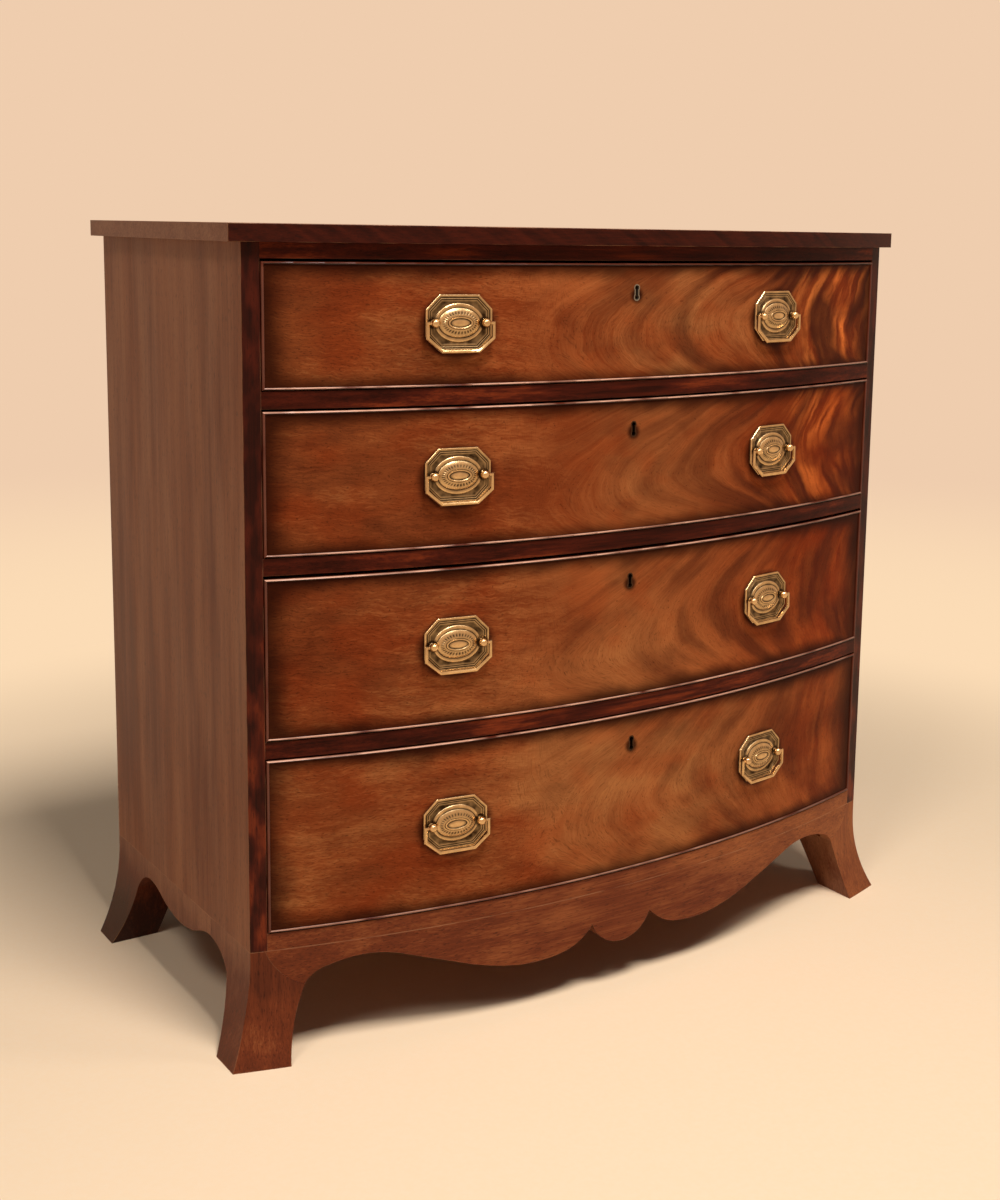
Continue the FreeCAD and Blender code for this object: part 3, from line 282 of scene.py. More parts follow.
def rub_arrises(tree, place, colour, worn, radius, strength):
    """A colour worn pale on sharp arrises, where hands and cloths rub the polish through.

    An arris is where a rounded edge would lean away from the flat face; it is rubbed in places.
    """
    rounded = add(tree, "Bevel", (radius,), samples=6)
    flat = add(tree, "NewGeometry", out="Normal")
    same = add(tree, "VectorMath", (rounded, flat), out="Value", operation="DOT_PRODUCT")
    edge = add(tree, "MapRange", (same, 0.985, 0.86))
    chance = patches(tree, place, (38, 38, 38), 7.3, 0.42, 0.62)
    for share in (chance, strength):
        edge = add(tree, "Math", (edge, share), operation="MULTIPLY")
    return add(tree, "Mix", {0: edge, 6: colour, 7: worn}, **COLOURS)


def faces_towards(tree):
    """How far the surface faces to the right, to the back and up, each from -1 to 1."""
    return add(tree, "SeparateXYZ", (add(tree, "TexCoord", out="Normal"),)).node.outputs


def end_faces(tree):
    """1 on the faces that look left or right, else 0."""
    across = add(tree, "Math", (faces_towards(tree)[0],), operation="ABSOLUTE")
    return add(tree, "MapRange", (across, 0.6, 0.8))


def outside(tree, x, y, near, far):
    """0 inside one radius from the bow's centre and 1 outside the other, in millimetres."""
    back = add(tree, "Math", (y, -BOW_BEHIND), operation="ADD")
    across = add(tree, "Math", (x, x), operation="MULTIPLY")
    squared = add(tree, "Math", (back, back, across), operation="MULTIPLY_ADD")
    radius = add(tree, "Math", (squared,), operation="SQRT")
    return add(tree, "MapRange", (radius, near, far))


def grain(tree, place, axis, seed, band):
    """Straight grain along an axis: a value from dark to light, and the pores.

    It is made of growth bands, streaks 3.4 mm wide and fine lines of 1.5 mm. Real pores are
    some 0.2 mm wide, too fine to be seen, so they are drawn 1.3 mm wide.
    """
    value = 0.0
    for long, wide, weight in ((420, band, 1.0), (170, 3.4, 0.5), (60, 1.5, 0.35)):
        size = [wide] * 3
        size["xyz".index(axis)] = long
        layer = patches(tree, place, size, seed + wide)
        value = add(tree, "Mix", {0: weight, 2: value, 3: layer})
    size = [1.3] * 3
    size["xyz".index(axis)] = 9
    pores = patches(tree, place, size, seed + 5, 0.60, 0.70, detail=1.0)
    return value, pores


def three_tone(tree, value, dark, mid, light):
    """A colour from dark through mid to light as a value runs from 0 to 1."""
    lower = add(tree, "MapRange", (value, 0.0, 0.5))
    upper = add(tree, "MapRange", (value, 0.5, 1.0))
    tone = add(tree, "Mix", {0: lower, 6: dark, 7: mid}, **COLOURS)
    return add(tree, "Mix", {0: upper, 6: tone, 7: light}, **COLOURS)


def darken_pores(tree, colour, pores, strength):
    """Dark flecks of pores filled with old polish."""
    depth = add(tree, "Math", (pores, strength), operation="MULTIPLY")
    return add(tree, "Mix", {0: depth, 6: colour, 7: linear("#1c0a06")}, **COLOURS)


def side_and_stile(wood):
    """Waxed mahogany side board, and the polished stile glued to its front edge.

    The side is a greyed brown in soft upright bands, painted paler to the top as a sheen and
    again just above the base as a painted reflection of the floor. The stile keeps a ruby polish,
    darker towards the top.
    """
    material, tree, place, (_, _, z) = start("mahogany_side_waxed")
    value, pores = grain(tree, place, "z", 3.0, band=22.0)
    broad = patches(tree, place, (30, 30, 260), 13.0, 0.2, 0.8)
    soft = add(tree, "Mix", {0: 0.6, 2: value, 3: broad})
    # painted sheen, lighter towards the top, and a painted reflection of the floor, lighter just
    # above the base
    low = add(tree, "MapRange", (z, 100.0, 330.0, 0.28, 0.0), interpolation_type="SMOOTHSTEP")
    high = add(tree, "MapRange", (z, 100.0, 900.0, -0.02, 0.34))
    with_sheen = add(tree, "Math", (soft, add(tree, "Math", (low, high), operation="ADD")),
                operation="ADD")
    side = three_tone(tree, with_sheen, wood.side_dark, wood.side_mid, wood.side_light)
    blush = patches(tree, place, (60, 60, 320), 11.0)
    side = add(tree, "Mix", {0: add(tree, "Math", (blush, 0.22), operation="MULTIPLY"),
                             6: side, 7: wood.base_light}, **COLOURS)
    ruby = patches(tree, place, (16, 16, 46), 23.0, 0.4, 0.62)
    front_value = add(tree, "Mix", {0: 0.65, 2: value, 3: ruby})
    # the stile is darker towards the top
    dimmed = add(tree, "MapRange", (z, 120.0, 620.0, 1.05, 0.55))
    front_value = add(tree, "Math", (front_value, dimmed), operation="MULTIPLY")
    stile = three_tone(tree, front_value, wood.front_dark, wood.front_mid, wood.front_light)
    is_stile = add(tree, "MapRange", (faces_towards(tree)[1], -0.6, -0.8))
    colour = add(tree, "Mix", {0: is_stile, 6: side, 7: stile}, **COLOURS)
    colour = darken_pores(tree, colour, pores, 0.45)
    colour = rub_arrises(tree, place, colour, wood.worn, 1.2 * MM, 0.55)
    roughness = add(tree, "MapRange", (value, 0.0, 1.0, 0.36, 0.46))
    return finish(material, tree, colour, roughness, pores, -0.06 * MM, wood.arris, specular=0.1)


def faced_rail(wood, inside):
    """French polished mahogany facing on a pine rail.

    Old shellac makes it near black with ruby streaks, and its front arrises are rubbed pale.
    """
    material, tree, place, (x, y, z) = start("mahogany_rail_french_polished")
    value, pores = grain(tree, place, "x", 31.0, band=9.0)
    ruby = patches(tree, place, (110, 30, 8), 41.0, 0.38, 0.66)
    value = add(tree, "Mix", {0: 0.45, 2: value, 3: ruby})
    dimming = patches(tree, place, (190, 190, 60), 47.0, 0.4, 0.6)
    dimming = add(tree, "MapRange", (dimming, 0.0, 1.0, 1.25, 0.6))
    # painted shadow of the top's overhang, a little darker on the top rail
    top_overhang_shadow = add(tree, "MapRange", (z, 880.0, 900.0, 1.0, 0.95))
    dimming = add(tree, "Math", (dimming, top_overhang_shadow), operation="MULTIPLY")
    polished = add(tree, "Math", (value, dimming), operation="MULTIPLY")
    facing = three_tone(tree, polished, wood.front_dark, wood.front_mid, wood.front_light)
    facing = darken_pores(tree, facing, pores, 0.4)
    facing = rub_arrises(tree, place, facing, wood.worn, 1.0 * MM, 0.35)
    core = add(tree, "Mix", {0: value, 6: inside.pine_dark, 7: inside.pine_light}, **COLOURS)
    is_facing = outside(tree, x, y, *FACING)
    colour = add(tree, "Mix", {0: is_facing, 6: core, 7: facing}, **COLOURS)
    roughness = add(tree, "MapRange", (is_facing, 0.0, 1.0, 0.7, 0.34))
    return finish(material, tree, colour, roughness, pores, -0.05 * MM, 0.6 * MM, specular=0.06)


def polished_top(wood):
    """French polished mahogany top.

    The eye sees a long brown figure on its face, slanting dark ruby streaks on its front edge,
    ends in the lighter tones of the sides, and pale arrises.
    """
    material, tree, place, (x, _, z) = start("mahogany_top_french_polished")
    value, pores = grain(tree, place, "x", 53.0, band=26.0)
    top = three_tone(tree, value, wood.base_dark, wood.base_mid, wood.base_light)
    lean = add(tree, "Math", (z, 1.6, x), operation="MULTIPLY_ADD")
    streak = patches(tree, add(tree, "CombineXYZ", (lean, 0.0, z)), (16, 1, 70), 61.0)
    edge_value = add(tree, "Mix", {0: 0.4, 2: value, 3: streak})
    edge_value = add(tree, "Math", (edge_value, 0.5), operation="MULTIPLY")
    edge_tone = three_tone(tree, edge_value, wood.front_dark, wood.front_mid, wood.front_light)
    is_front = add(tree, "MapRange", (faces_towards(tree)[1], -0.5, -0.7))
    colour = add(tree, "Mix", {0: is_front, 6: top, 7: edge_tone}, **COLOURS)
    end = add(tree, "Math", (value, 0.5, 0.55), operation="MULTIPLY_ADD")
    end = three_tone(tree, end, wood.side_dark, wood.side_mid, wood.side_light)
    colour = add(tree, "Mix", {0: end_faces(tree), 6: colour, 7: end}, **COLOURS)
    colour = darken_pores(tree, colour, pores, 0.4)
    colour = rub_arrises(tree, place, colour, wood.worn, 1.3 * MM, 0.75)
    return finish(material, tree, colour, 0.34, pores, -0.05 * MM, wood.arris, specular=0.1)


def waxed_base(wood, name, axis, seed, lift, dimming):
    """Waxed mahogany of the aprons and feet: browner, scuffed and rubbed bare on its edges.

    Lift makes all of it lighter, and the right end lighter still by 0.3. A painted shade darkens
    the low parts that stand at the back, by the last argument. The ends are painted lighter like
    the sides, a sheen that is most near the carcass, and the joint with the carcass shows here
    and there as a pale line, partly worn wood and partly a painted highlight.
    """
    material, tree, place, (x, y, z) = start(name)
    value, pores = grain(tree, place, axis, seed, band=15.0)
    cloud = patches(tree, place, (90, 90, 60), seed + 2.0)
    value = add(tree, "Mix", {0: 0.35, 2: value, 3: cloud})
    value = add(tree, "Math", (value, 0.65, 0.18), operation="MULTIPLY_ADD")
    lighter = add(tree, "MapRange", (x, -200.0, 430.0, lift, lift + 0.3))
    value = add(tree, "Math", (value, lighter), operation="ADD")
    # painted shade on the low parts at the back, which stand in the chest's shadow
    dimmed = add(tree, "MapRange", (y, -60.0, 200.0, 0.0, dimming))
    dimmed = add(tree, "Math", (dimmed, add(tree, "MapRange", (z, 130.0, 60.0))),
                operation="MULTIPLY")
    value = add(tree, "Math", (value, dimmed), operation="SUBTRACT")
    colour = three_tone(tree, value, wood.base_dark, wood.base_mid, wood.base_light)
    # painted sheen: the end faces lighter towards the carcass, like the sides
    fade = add(tree, "MapRange", (z, 40.0, BASE_TOP, 0.0, 0.35))
    end = add(tree, "Math", (value, fade), operation="ADD")
    end = three_tone(tree, end, wood.side_dark, wood.side_mid, wood.side_light)
    colour = add(tree, "Mix", {0: end_faces(tree), 6: colour, 7: end}, **COLOURS)
    colour = darken_pores(tree, colour, pores, 0.45)
    kicked = add(tree, "MapRange", (z, 34.0, 0.0, 0.35, 1.0))
    colour = rub_arrises(tree, place, colour, wood.worn, 1.6 * MM, kicked)
    # a pale line at the joint with the carcass: worn wood, partly a painted highlight where an
    # arris would catch the light
    worn_lit_seam = add(tree, "Math", (z, BASE_TOP, 0.7), operation="COMPARE")
    worn_lit_seam = add(tree, "MapRange", (worn_lit_seam, 0.0, 1.0, 0.0, 0.35))
    chance = patches(tree, place, (50, 50, 50), 89.0, 0.4, 0.56)
    worn_lit_seam = add(tree, "Math", (worn_lit_seam, chance), operation="MULTIPLY")
    colour = add(tree, "Mix", {0: worn_lit_seam, 6: colour, 7: wood.worn}, **COLOURS)
    roughness = add(tree, "MapRange", (value, 0.0, 1.0, 0.38, 0.5))
    return finish(material, tree, colour, roughness, pores, -0.06 * MM, wood.arris, specular=0.12)


def rubbed_cockbead(wood):
    """Mahogany cockbead, its round nose pale on its upper side, partly rubbed by dusters and
    partly a painted highlight of the light from above; its underside is darkened as painted
    shade.

    The bead under the overhang of the top is kept dark as painted shadow, and the pale is weaker
    on the lowest one and towards the right ends.
    """
    material, tree, place, (x, y, z) = start("mahogany_cockbead_rubbed")
    streak = patches(tree, place, (30, 30, 30), 71.0)
    body = add(tree, "Mix", {0: streak, 6: wood.front_mid, 7: wood.bead}, **COLOURS)
    up = faces_towards(tree)[2]
    # painted shade on the underside of the bead
    underside_shade = add(tree, "MapRange", (up, -0.1, -0.6))
    dark = add(tree, "Mix", {0: underside_shade, 6: body, 7: wood.front_dark}, **COLOURS)
    # the upper side of the nose is paler, partly rubbed and partly a painted highlight of the
    # light from above
    worn = add(tree, "MapRange", (up, 0.1, 0.7, 0.06, 1.0))
    for factor in (patches(tree, place, (60, 60, 60), 79.0, 0.34, 0.5),
                   outside(tree, x, y, *NOSE),
                   add(tree, "MapRange", (x, 100.0, 320.0, 1.0, 0.4)),
                   # painted shadow of the top's overhang keeps the highest bead dark
                   add(tree, "MapRange", (z, 884.0, 888.0, 1.0, 0.04)),
                   add(tree, "MapRange", (z, 152.0, 170.0, 0.5, 1.0))):
        worn = add(tree, "Math", (worn, factor), operation="MULTIPLY")
    colour = add(tree, "Mix", {0: worn, 6: dark, 7: wood.bead_rub_and_highlight}, **COLOURS)
    return finish(material, tree, colour, 0.3, specular=0.3)


def flame_veneer(veneer, inside, drawer):
    """Flame figured mahogany veneer under old shellac, on a pine front.

    Plain level grain on the left runs into nested curves that open to the right, and into
    gold ripples before the right edge, painted bright as a sheen. The whole lies under a thin
    gloss, with painted shading across it, lighter in the middle and darker to the ends; old wax
    has darkened the margins and the wood round the brass, and the right end is darker still.
    """
    figure = FIGURES[drawer]
    least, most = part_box(f"drawer_{drawer}_front")
    low, high, half_wide = least.z / MM, most.z / MM, most.x / MM
    half_high = (high - low) / 2
    material, tree, place, (x, y, z) = start(f"mahogany_flame_veneer_french_polished_{drawer}")
    z = add(tree, "Math", (z, -(low + high) / 2), operation="ADD")
    face = add(tree, "CombineXYZ", (x, 0.0, z))
    off_middle = add(tree, "Math", (x,), operation="ABSOLUTE")

    # slow and quick wander of the grain, in millimetres
    slow = patches(tree, face, (170, 1, 120), drawer + 0.5, 0.2, 0.8, detail=1.0)
    quick = patches(tree, face, (34, 1, 30), drawer + 2.5, 0.2, 0.8, detail=1.0)
    wander = add(tree, "Math", (slow, 36.0, -18.0), operation="MULTIPLY_ADD")
    wander = add(tree, "Math", (quick, 7.0, wander), operation="MULTIPLY_ADD")
    curl = patches(tree, face, (15, 1, 11), drawer + 3.5, 0.2, 0.8, detail=1.0)

    # nested curves: x less the square of the height over the tip, times the bend
    apex = add(tree, "MapRange", (x, -90.0, 160.0, *figure["apex"]))
    over = add(tree, "Math", (z, apex), operation="SUBTRACT")
    bend = add(tree, "MapRange", (x, -60.0, 160.0, *figure["bend"]))
    upright = add(tree, "MapRange", (x, 200.0, 330.0, 1.0, 0.35))
    fall = over
    for factor in (over, bend, upright):
        fall = add(tree, "Math", (fall, factor), operation="MULTIPLY")
    phase = add(tree, "Math", (x, wander), operation="ADD")
    phase = add(tree, "Math", (phase, fall), operation="SUBTRACT")
    phase = add(tree, "Math", (curl, 3.0, phase), operation="MULTIPLY_ADD")
    curve = add(tree, "CombineXYZ", (phase, 0.0, z))
    arcs = patches(tree, curve, (44, 1, 260), drawer + 4.0, 0.15, 0.85, detail=1.0)
    for wide, tall, weight in ((17, 110, 0.36), (6.5, 60, 0.3), (2.4, 24, 0.28)):
        layer = patches(tree, curve, (wide, 1, tall), drawer + wide, 0.22, 0.78, detail=1.0)
        arcs = add(tree, "Mix", {0: weight, 2: arcs, 3: layer})
    arcs = add(tree, "Math", (arcs, figure["depth"], (1 - figure["depth"]) / 2),
               operation="MULTIPLY_ADD")

    # plain grain on the left, which runs a little down to the right
    level = add(tree, "Math", (x, 0.07, z), operation="MULTIPLY_ADD")
    level = add(tree, "Math", (wander, 0.35, level), operation="MULTIPLY_ADD")
    level = add(tree, "Math", (curl, 4.0, level), operation="MULTIPLY_ADD")
    straight = add(tree, "CombineXYZ", (x, 0.0, level))
    plain = patches(tree, straight, (130, 1, 30), drawer + 6.0)
    for long, wide, weight in ((70, 8, 0.4), (26, 2.6, 0.36), (10, 1.3, 0.36)):
        layer = patches(tree, straight, (long, 1, wide), drawer + wide, 0.25, 0.75)
        plain = add(tree, "Mix", {0: weight, 2: plain, 3: layer})
    arcs_start = add(tree, "Math", (wander, 1.6, x), operation="MULTIPLY_ADD")
    is_curved = add(tree, "MapRange", (arcs_start, -170.0, -50.0),
                    interpolation_type="SMOOTHSTEP")
    value = add(tree, "Mix", {0: is_curved, 2: plain, 3: arcs})

    # a glow that comes and goes, over painted shading across the front: darker to the left end,
    # lightest in the middle and darker again to the right
    glow = patches(tree, face, (150, 1, 80), drawer + 8.0, 0.35, 0.7)
    rise = add(tree, "MapRange", (x, -440.0, 20.0, 0.0, 1.0))
    sink = add(tree, "MapRange", (x, 110.0, 330.0, 0.0, 0.75))
    shading_across = add(tree, "Math", (rise, sink), operation="SUBTRACT")
    glow = add(tree, "Mix", {0: 0.6, 2: glow, 3: shading_across})
    value = add(tree, "Mix", {0: 0.42, 2: value, 3: glow})
    value = add(tree, "Math", (value, figure["lift"]), operation="ADD")

    # gold flames before the right edge, a painted sheen
    ripple = patches(tree, curve, (15, 1, 60), drawer + 12.0, 0.38, 0.64, detail=1.0, twist=0.4)
    reach = add(tree, "MapRange", (x, figure["gold_sheen"] - 70.0, figure["gold_sheen"] + 30.0),
                interpolation_type="SMOOTHSTEP")
    broken = patches(tree, face, (70, 1, 60), drawer + 14.0, 0.36, 0.58)
    gold_sheen = ripple
    for factor in (reach, broken, figure["bright"]):
        gold_sheen = add(tree, "Math", (gold_sheen, factor), operation="MULTIPLY")

    # red patches over a red that rises left of the middle and again to the right
    left, start_right, right = figure["red"]
    red_left = add(tree, "MapRange", (x, -330.0, -180.0, 0.0, left))
    red_left = add(tree, "Math", (red_left, add(tree, "MapRange", (x, -80.0, 60.0, 1.0, 0.0))),
                   operation="MULTIPLY")
    red_right = add(tree, "MapRange", (x, start_right, 360.0, 0.0, right))
    blush = patches(tree, face, (80, 1, 50), drawer + 15.0, 0.42, 0.66)
    blush = add(tree, "Math", (blush, 0.5), operation="MULTIPLY")
    for red in (red_left, red_right):
        blush = add(tree, "Math", (blush, red), operation="MAXIMUM")

    # dark clouds along the curves, which thicken to the right
    thick = add(tree, "MapRange", (x, -120.0, 200.0, 0.15, 0.9))
    cloud = patches(tree, curve, (52, 1, 90), drawer + 16.0, 0.45, 0.62, detail=1.0)
    for factor in (thick, figure["cloud"]):
        cloud = add(tree, "Math", (cloud, factor), operation="MULTIPLY")

    # soft bruises, and small dents that hold old polish
    bruise = patches(tree, face, (48, 1, 34), drawer + 21.0, 0.5, 0.72, detail=4.0)
    dent = patches(tree, face, (4.2, 1, 3.4), drawer + 23.0, 0.72, 0.78, detail=1.0)
    bruise = add(tree, "Math", (bruise, 0.3), operation="MULTIPLY")
    dent = add(tree, "Math", (dent, 0.55), operation="MULTIPLY")
    worn = add(tree, "Math", (bruise, dent), operation="MAXIMUM")

    # the figure, and over it the painted gold sheen, the red, the clouds and the wear
    colour = three_tone(tree, value, veneer.dark, veneer.mid, veneer.light)
    for share, coat, blend in ((gold_sheen, veneer.gold_sheen, "MIX"), (blush, veneer.red, "MULTIPLY"),
                               (cloud, veneer.dark, "MIX"), (worn, veneer.dark, "MIX")):
        colour = add(tree, "Mix", {0: share, 6: colour, 7: coat}, **COLOURS,
                     blend_type=blend)

    # pores along the grain, drawn 1 mm wide because real ones, of 0.2 mm, are too fine to show
    flow = add(tree, "Mix", {0: is_curved, 4: straight,
                             5: add(tree, "CombineXYZ", (level, 0.0, phase))},
               out=1, data_type="VECTOR")
    pores = patches(tree, flow, (4, 1, 1.0), drawer + 18.0, 0.55, 0.74, detail=1.0)
    colour = darken_pores(tree, colour, pores, 0.42)

    # wax along the margins, round the plates and round the keyhole, and darker towards the right
    # end
    from_side = add(tree, "Math", (half_wide, off_middle), operation="SUBTRACT")
    from_edge = add(tree, "Math", (half_high, add(tree, "Math", (z,), operation="ABSOLUTE")),
                    operation="SUBTRACT")
    from_edge = add(tree, "Math", (from_edge, 1.7), operation="MULTIPLY")
    margin = add(tree, "Math", (from_side, from_edge, 50.0), operation="SMOOTH_MIN")
    margin = add(tree, "Math", (slow, 14.0, margin), operation="MULTIPLY_ADD")
    margin = add(tree, "Math", (quick, 8.0, margin), operation="MULTIPLY_ADD")
    across = add(tree, "Math", (off_middle, -HANDLE_ACROSS), operation="ADD")
    from_plate = add(tree, "VectorMath", (add(tree, "CombineXYZ", (across, 0.0, z)),
                                          (1 / GRIME[0], 1.0, 1 / GRIME[1])),
                     operation="MULTIPLY")
    from_plate = add(tree, "VectorMath", (from_plate,), out="Value", operation="LENGTH")
    keyhole = figure["lock"], 0.0, half_high - figure["key"]
    from_hole = add(tree, "VectorMath", (face, keyhole), out="Value", operation="DISTANCE")
    wax = 0.0
    for distance, clean, waxed in ((margin, 46.0, 11.0), (x, 378.0, 440.0),
                                   (from_plate, 1.32, 0.98), (from_hole, 12.0, 5.0)):
        here = add(tree, "MapRange", (distance, clean, waxed), interpolation_type="SMOOTHSTEP")
        wax = add(tree, "Math", (wax, here), operation="MAXIMUM")
    wax = add(tree, "Math", (wax, 0.88), operation="MULTIPLY")
    colour = add(tree, "Mix", {0: wax, 6: colour, 7: veneer.shade}, **COLOURS)

    # the pine that the veneer is laid on
    core = patches(tree, place, (160, 9, 9), 3.0)
    core = add(tree, "Mix", {0: core, 6: inside.pine_dark, 7: inside.pine_light}, **COLOURS)
    is_veneer = outside(tree, x, y, *VENEER)
    colour = add(tree, "Mix", {0: is_veneer, 6: core, 7: colour}, **COLOURS)
    roughness = add(tree, "MapRange", (is_veneer, 0.0, 1.0, 0.7, 0.36))
    return finish(material, tree, colour, roughness, pores, -0.05 * MM, specular=0.03)


def planed_oak(inside, axis, name):
    """Quarter sawn oak left from the plane: a straight tan grain, matt, with pale ray flecks.

    The flecks are 7 mm long and 2.4 mm wide, as in life.
    """
    material, tree, place, _ = start(name)
    value, pores = grain(tree, place, axis, 91.0, band=7.0)
    size = [2.4] * 3
    size["xyz".index(axis)] = 7
    rays = patches(tree, place, size, 97.0, 0.6, 0.68, detail=1.0)
    colour = add(tree, "Mix", {0: value, 6: inside.oak_dark, 7: inside.oak_light}, **COLOURS)
    colour = darken_pores(tree, colour, pores, 0.3)
    rays = add(tree, "Math", (rays, 0.4), operation="MULTIPLY")
    colour = add(tree, "Mix", {0: rays, 6: colour, 7: linear("#cbab7c")}, **COLOURS)
    return finish(material, tree, colour, 0.62, pores, -0.1 * MM, 0.5 * MM, specular=0.35)


def sawn_pine(inside, axis, name, age):
    """Bare pine: matt, with wide bands of late wood, and greyer with dust as it ages.

    Each board of the back, from one joint to the next, has a tone and grain of its own.
    """
    material, tree, place, (_, _, z) = start(name)
    low, high = (corner.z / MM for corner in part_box("back_boards"))
    board = add(tree, "MapRange", (z, low, high, 0.0, BACK_BOARDS))
    board = add(tree, "Math", (board,), operation="FLOOR")
    board = add(tree, "Math", (board, 57.0), operation="MULTIPLY")  # so no two grains run on
    apart = add(tree, "VectorMath", (place, add(tree, "CombineXYZ", (board, board, board))),
                operation="ADD")
    value, _ = grain(tree, apart, axis, 107.0, band=19.0)
    tone = add(tree, "TexWhiteNoise", {"W": board}, noise_dimensions="1D")
    value = add(tree, "Mix", {0: 0.35, 2: value, 3: tone})
    colour = add(tree, "Mix", {0: value, 6: inside.pine_dark, 7: inside.pine_light}, **COLOURS)
    dust = patches(tree, place, (140, 140, 140), 113.0, 0.3, 0.7)
    dust = add(tree, "Math", (dust, age), operation="MULTIPLY")
    colour = add(tree, "Mix", {0: dust, 6: colour, 7: inside.dust}, **COLOURS)
    return finish(material, tree, colour, 0.72, value, 0.12 * MM, 0.8 * MM, specular=0.3)


def cast_brass(metal, name):
    """Cast brass, once lacquered: it glints where it is rubbed, and is brown with tarnish in
    every hollow and with painted shade and dark reflections on its flats and round its posts.

    The grit of the casting is some 0.3 mm, too fine to be seen, so it is drawn 1.2 mm across.
    """
    material, tree, place, _ = start(name)
    # how dark each point is painted: tarnish in the hollows, and painted shade and dark
    # reflection on the flats, round the posts and under the balls
    tarnish_and_shade = add(tree, "Attribute", out="Fac", attribute_name="tarnish_and_shade")
    cloud = patches(tree, place, (9, 9, 9), 5.0)
    dull = add(tree, "Math", (cloud, 0.25, tarnish_and_shade), operation="MULTIPLY_ADD", use_clamp=True)
    colour = add(tree, "Mix", {0: dull, 6: metal.brass, 7: metal.old_brass}, **COLOURS)
    roughness = add(tree, "MapRange", (dull, 0.0, 1.0, 0.17, 0.48))
    grit = patches(tree, place, (1.2, 1.2, 1.2), 9.0)
    return finish(material, tree, colour, roughness, grit, 0.03 * MM, metallic=1.0)


def iron_and_thread(metal, name, thread):
    """Filed iron lock, dull under a brown film, and the brass thread round its keyhole.

    File marks are some 0.4 mm apart, too fine to be seen, so they are drawn at 1.2 mm.
    """
    material, tree, place, (x, y, _) = start(name)
    film = patches(tree, place, (14, 14, 14), 17.0)
    iron = add(tree, "Mix", {0: film, 6: metal.iron, 7: metal.rust}, **COLOURS)
    file_marks = patches(tree, place, (40, 1.2, 1.2), 19.0)
    is_thread = outside(tree, x, y, *THREAD)
    colour = add(tree, "Mix", {0: is_thread, 6: iron, 7: linear(thread)}, **COLOURS)
    return finish(material, tree, colour, 0.5, file_marks, 0.04 * MM, metallic=1.0)


def dress(nodes, material):
    """Give CAD nodes a material."""
    for name in nodes:
        for slot in frame["nodes"][name].material_slots:
            slot.material = material


def stage_floor(stage):
    """Matt pale plaster that takes the chest's shadow and fades into the background far off.

    Only what the eye sees fades, directly or in a gloss: the light still meets plain plaster.
    """
    material, tree, place, _ = start("plaster_floor_matt")
    speckle = patches(tree, place, (6, 6, 6), 2.0)
    tone = add(tree, "Mix", {0: add(tree, "Math", (speckle, 0.04), operation="MULTIPLY"),
                             6: stage.floor, 7: linear("#ffffff")}, **COLOURS)
    near = add(tree, "BsdfDiffuse", {"Color": tone})
    away = add(tree, "VectorMath", (place,), out="Value", operation="LENGTH")
    distance = add(tree, "MapRange", (away, 1900.0, 4500.0), interpolation_type="SMOOTHSTEP")
    plain = add(tree, "Mix", {0: distance, 6: stage.floor, 7: stage.wall}, **COLOURS)
    far = add(tree, "Emission", {"Color": plain})
    ray = add(tree, "LightPath").node.outputs
    seen = add(tree, "Math", (ray["Is Camera Ray"], ray["Is Glossy Ray"]), operation="MAXIMUM")
    away = add(tree, "MapRange", (away, 750.0, 1700.0), interpolation_type="SMOOTHSTEP")
    away = add(tree, "Math", (away, seen), operation="MULTIPLY")
    add(tree, "OutputMaterial", (add(tree, "MixShader", (away, near, far)),))
    return material


# ---------------------------------------------------------------- brass

def loft(mesh, rings):
    """Skin a row of rings and close its ends; a ring is its points and how dark they are painted.
    """
    layer = mesh.verts.layers.float["tarnish_and_shade"]
    rows = []
    for points, tarnish_and_shade in rings:
        row = [mesh.verts.new(point) for point in points]
        for k, vertex in enumerate(row):
            vertex[layer] = tarnish_and_shade[k] if isinstance(tarnish_and_shade, list) else tarnish_and_shade
        rows.append(row)
    for near, far in zip(rows, rows[1:]):
        for k in range(len(near)):
            after = (k + 1) % len(near)
            mesh.faces.new((near[k], near[after], far[after], far[k]))
    mesh.faces.new(rows[0][::-1])
    mesh.faces.new(rows[-1])


def octagon(wide, high, corner, inset, count=AROUND):
    """Points round an octagon drawn in by a distance, from the middle of its right side."""
    across, up = wide / 2 - inset, high / 2 - inset
    corner -= inset * (2 - math.sqrt(2))
    corners = [(across, -up + corner), (across, up - corner), (across - corner, up),
               (corner - across, up), (-across, up - corner), (-across, corner - up),
               (corner - across, -up), (across - corner, -up)]
    shares = (1 / 8, 3 / 32, 3 / 16, 3 / 32) * 2  # of the points, for each side in turn
    points = []
    for k, share in enumerate(shares):
        (x0, z0), (x1, z1) = corners[k], corners[(k + 1) % 8]
        steps = round(share * count)
        points += [(x0 + (x1 - x0) * n / steps, z0 + (z1 - z0) * n / steps)
                   for n in range(steps)]
    half_side = round(shares[0] * count) // 2
    return points[half_side:] + points[:half_side]


def oval(half_wide, half_high, count=AROUND):
    """Points round an ellipse."""
    return [(half_wide * math.cos(math.tau * k / count),
             half_high * math.sin(math.tau * k / count)) for k in range(count)]


def raise_to(points, height):
    """Points of a handle's plane at heights over the drawer's face, which fronts -Y."""
    return [Vector((x, -(height[k] if isinstance(height, list) else height), z))
            for k, (x, z) in enumerate(points)]


def tarnish_and_post_shade(points, tarnish_and_shade, handle):
    """How dark each point is, and darker round the posts: tarnish and painted shadow of the
    balls.
    """
    post, clean, fade, most = handle.posts / 2 / MM, 9.5, 4, 0.85
    return [max(tarnish_and_shade, min(most, (clean - math.hypot(abs(x) - post, z)) / fade))
            for x, z in points]


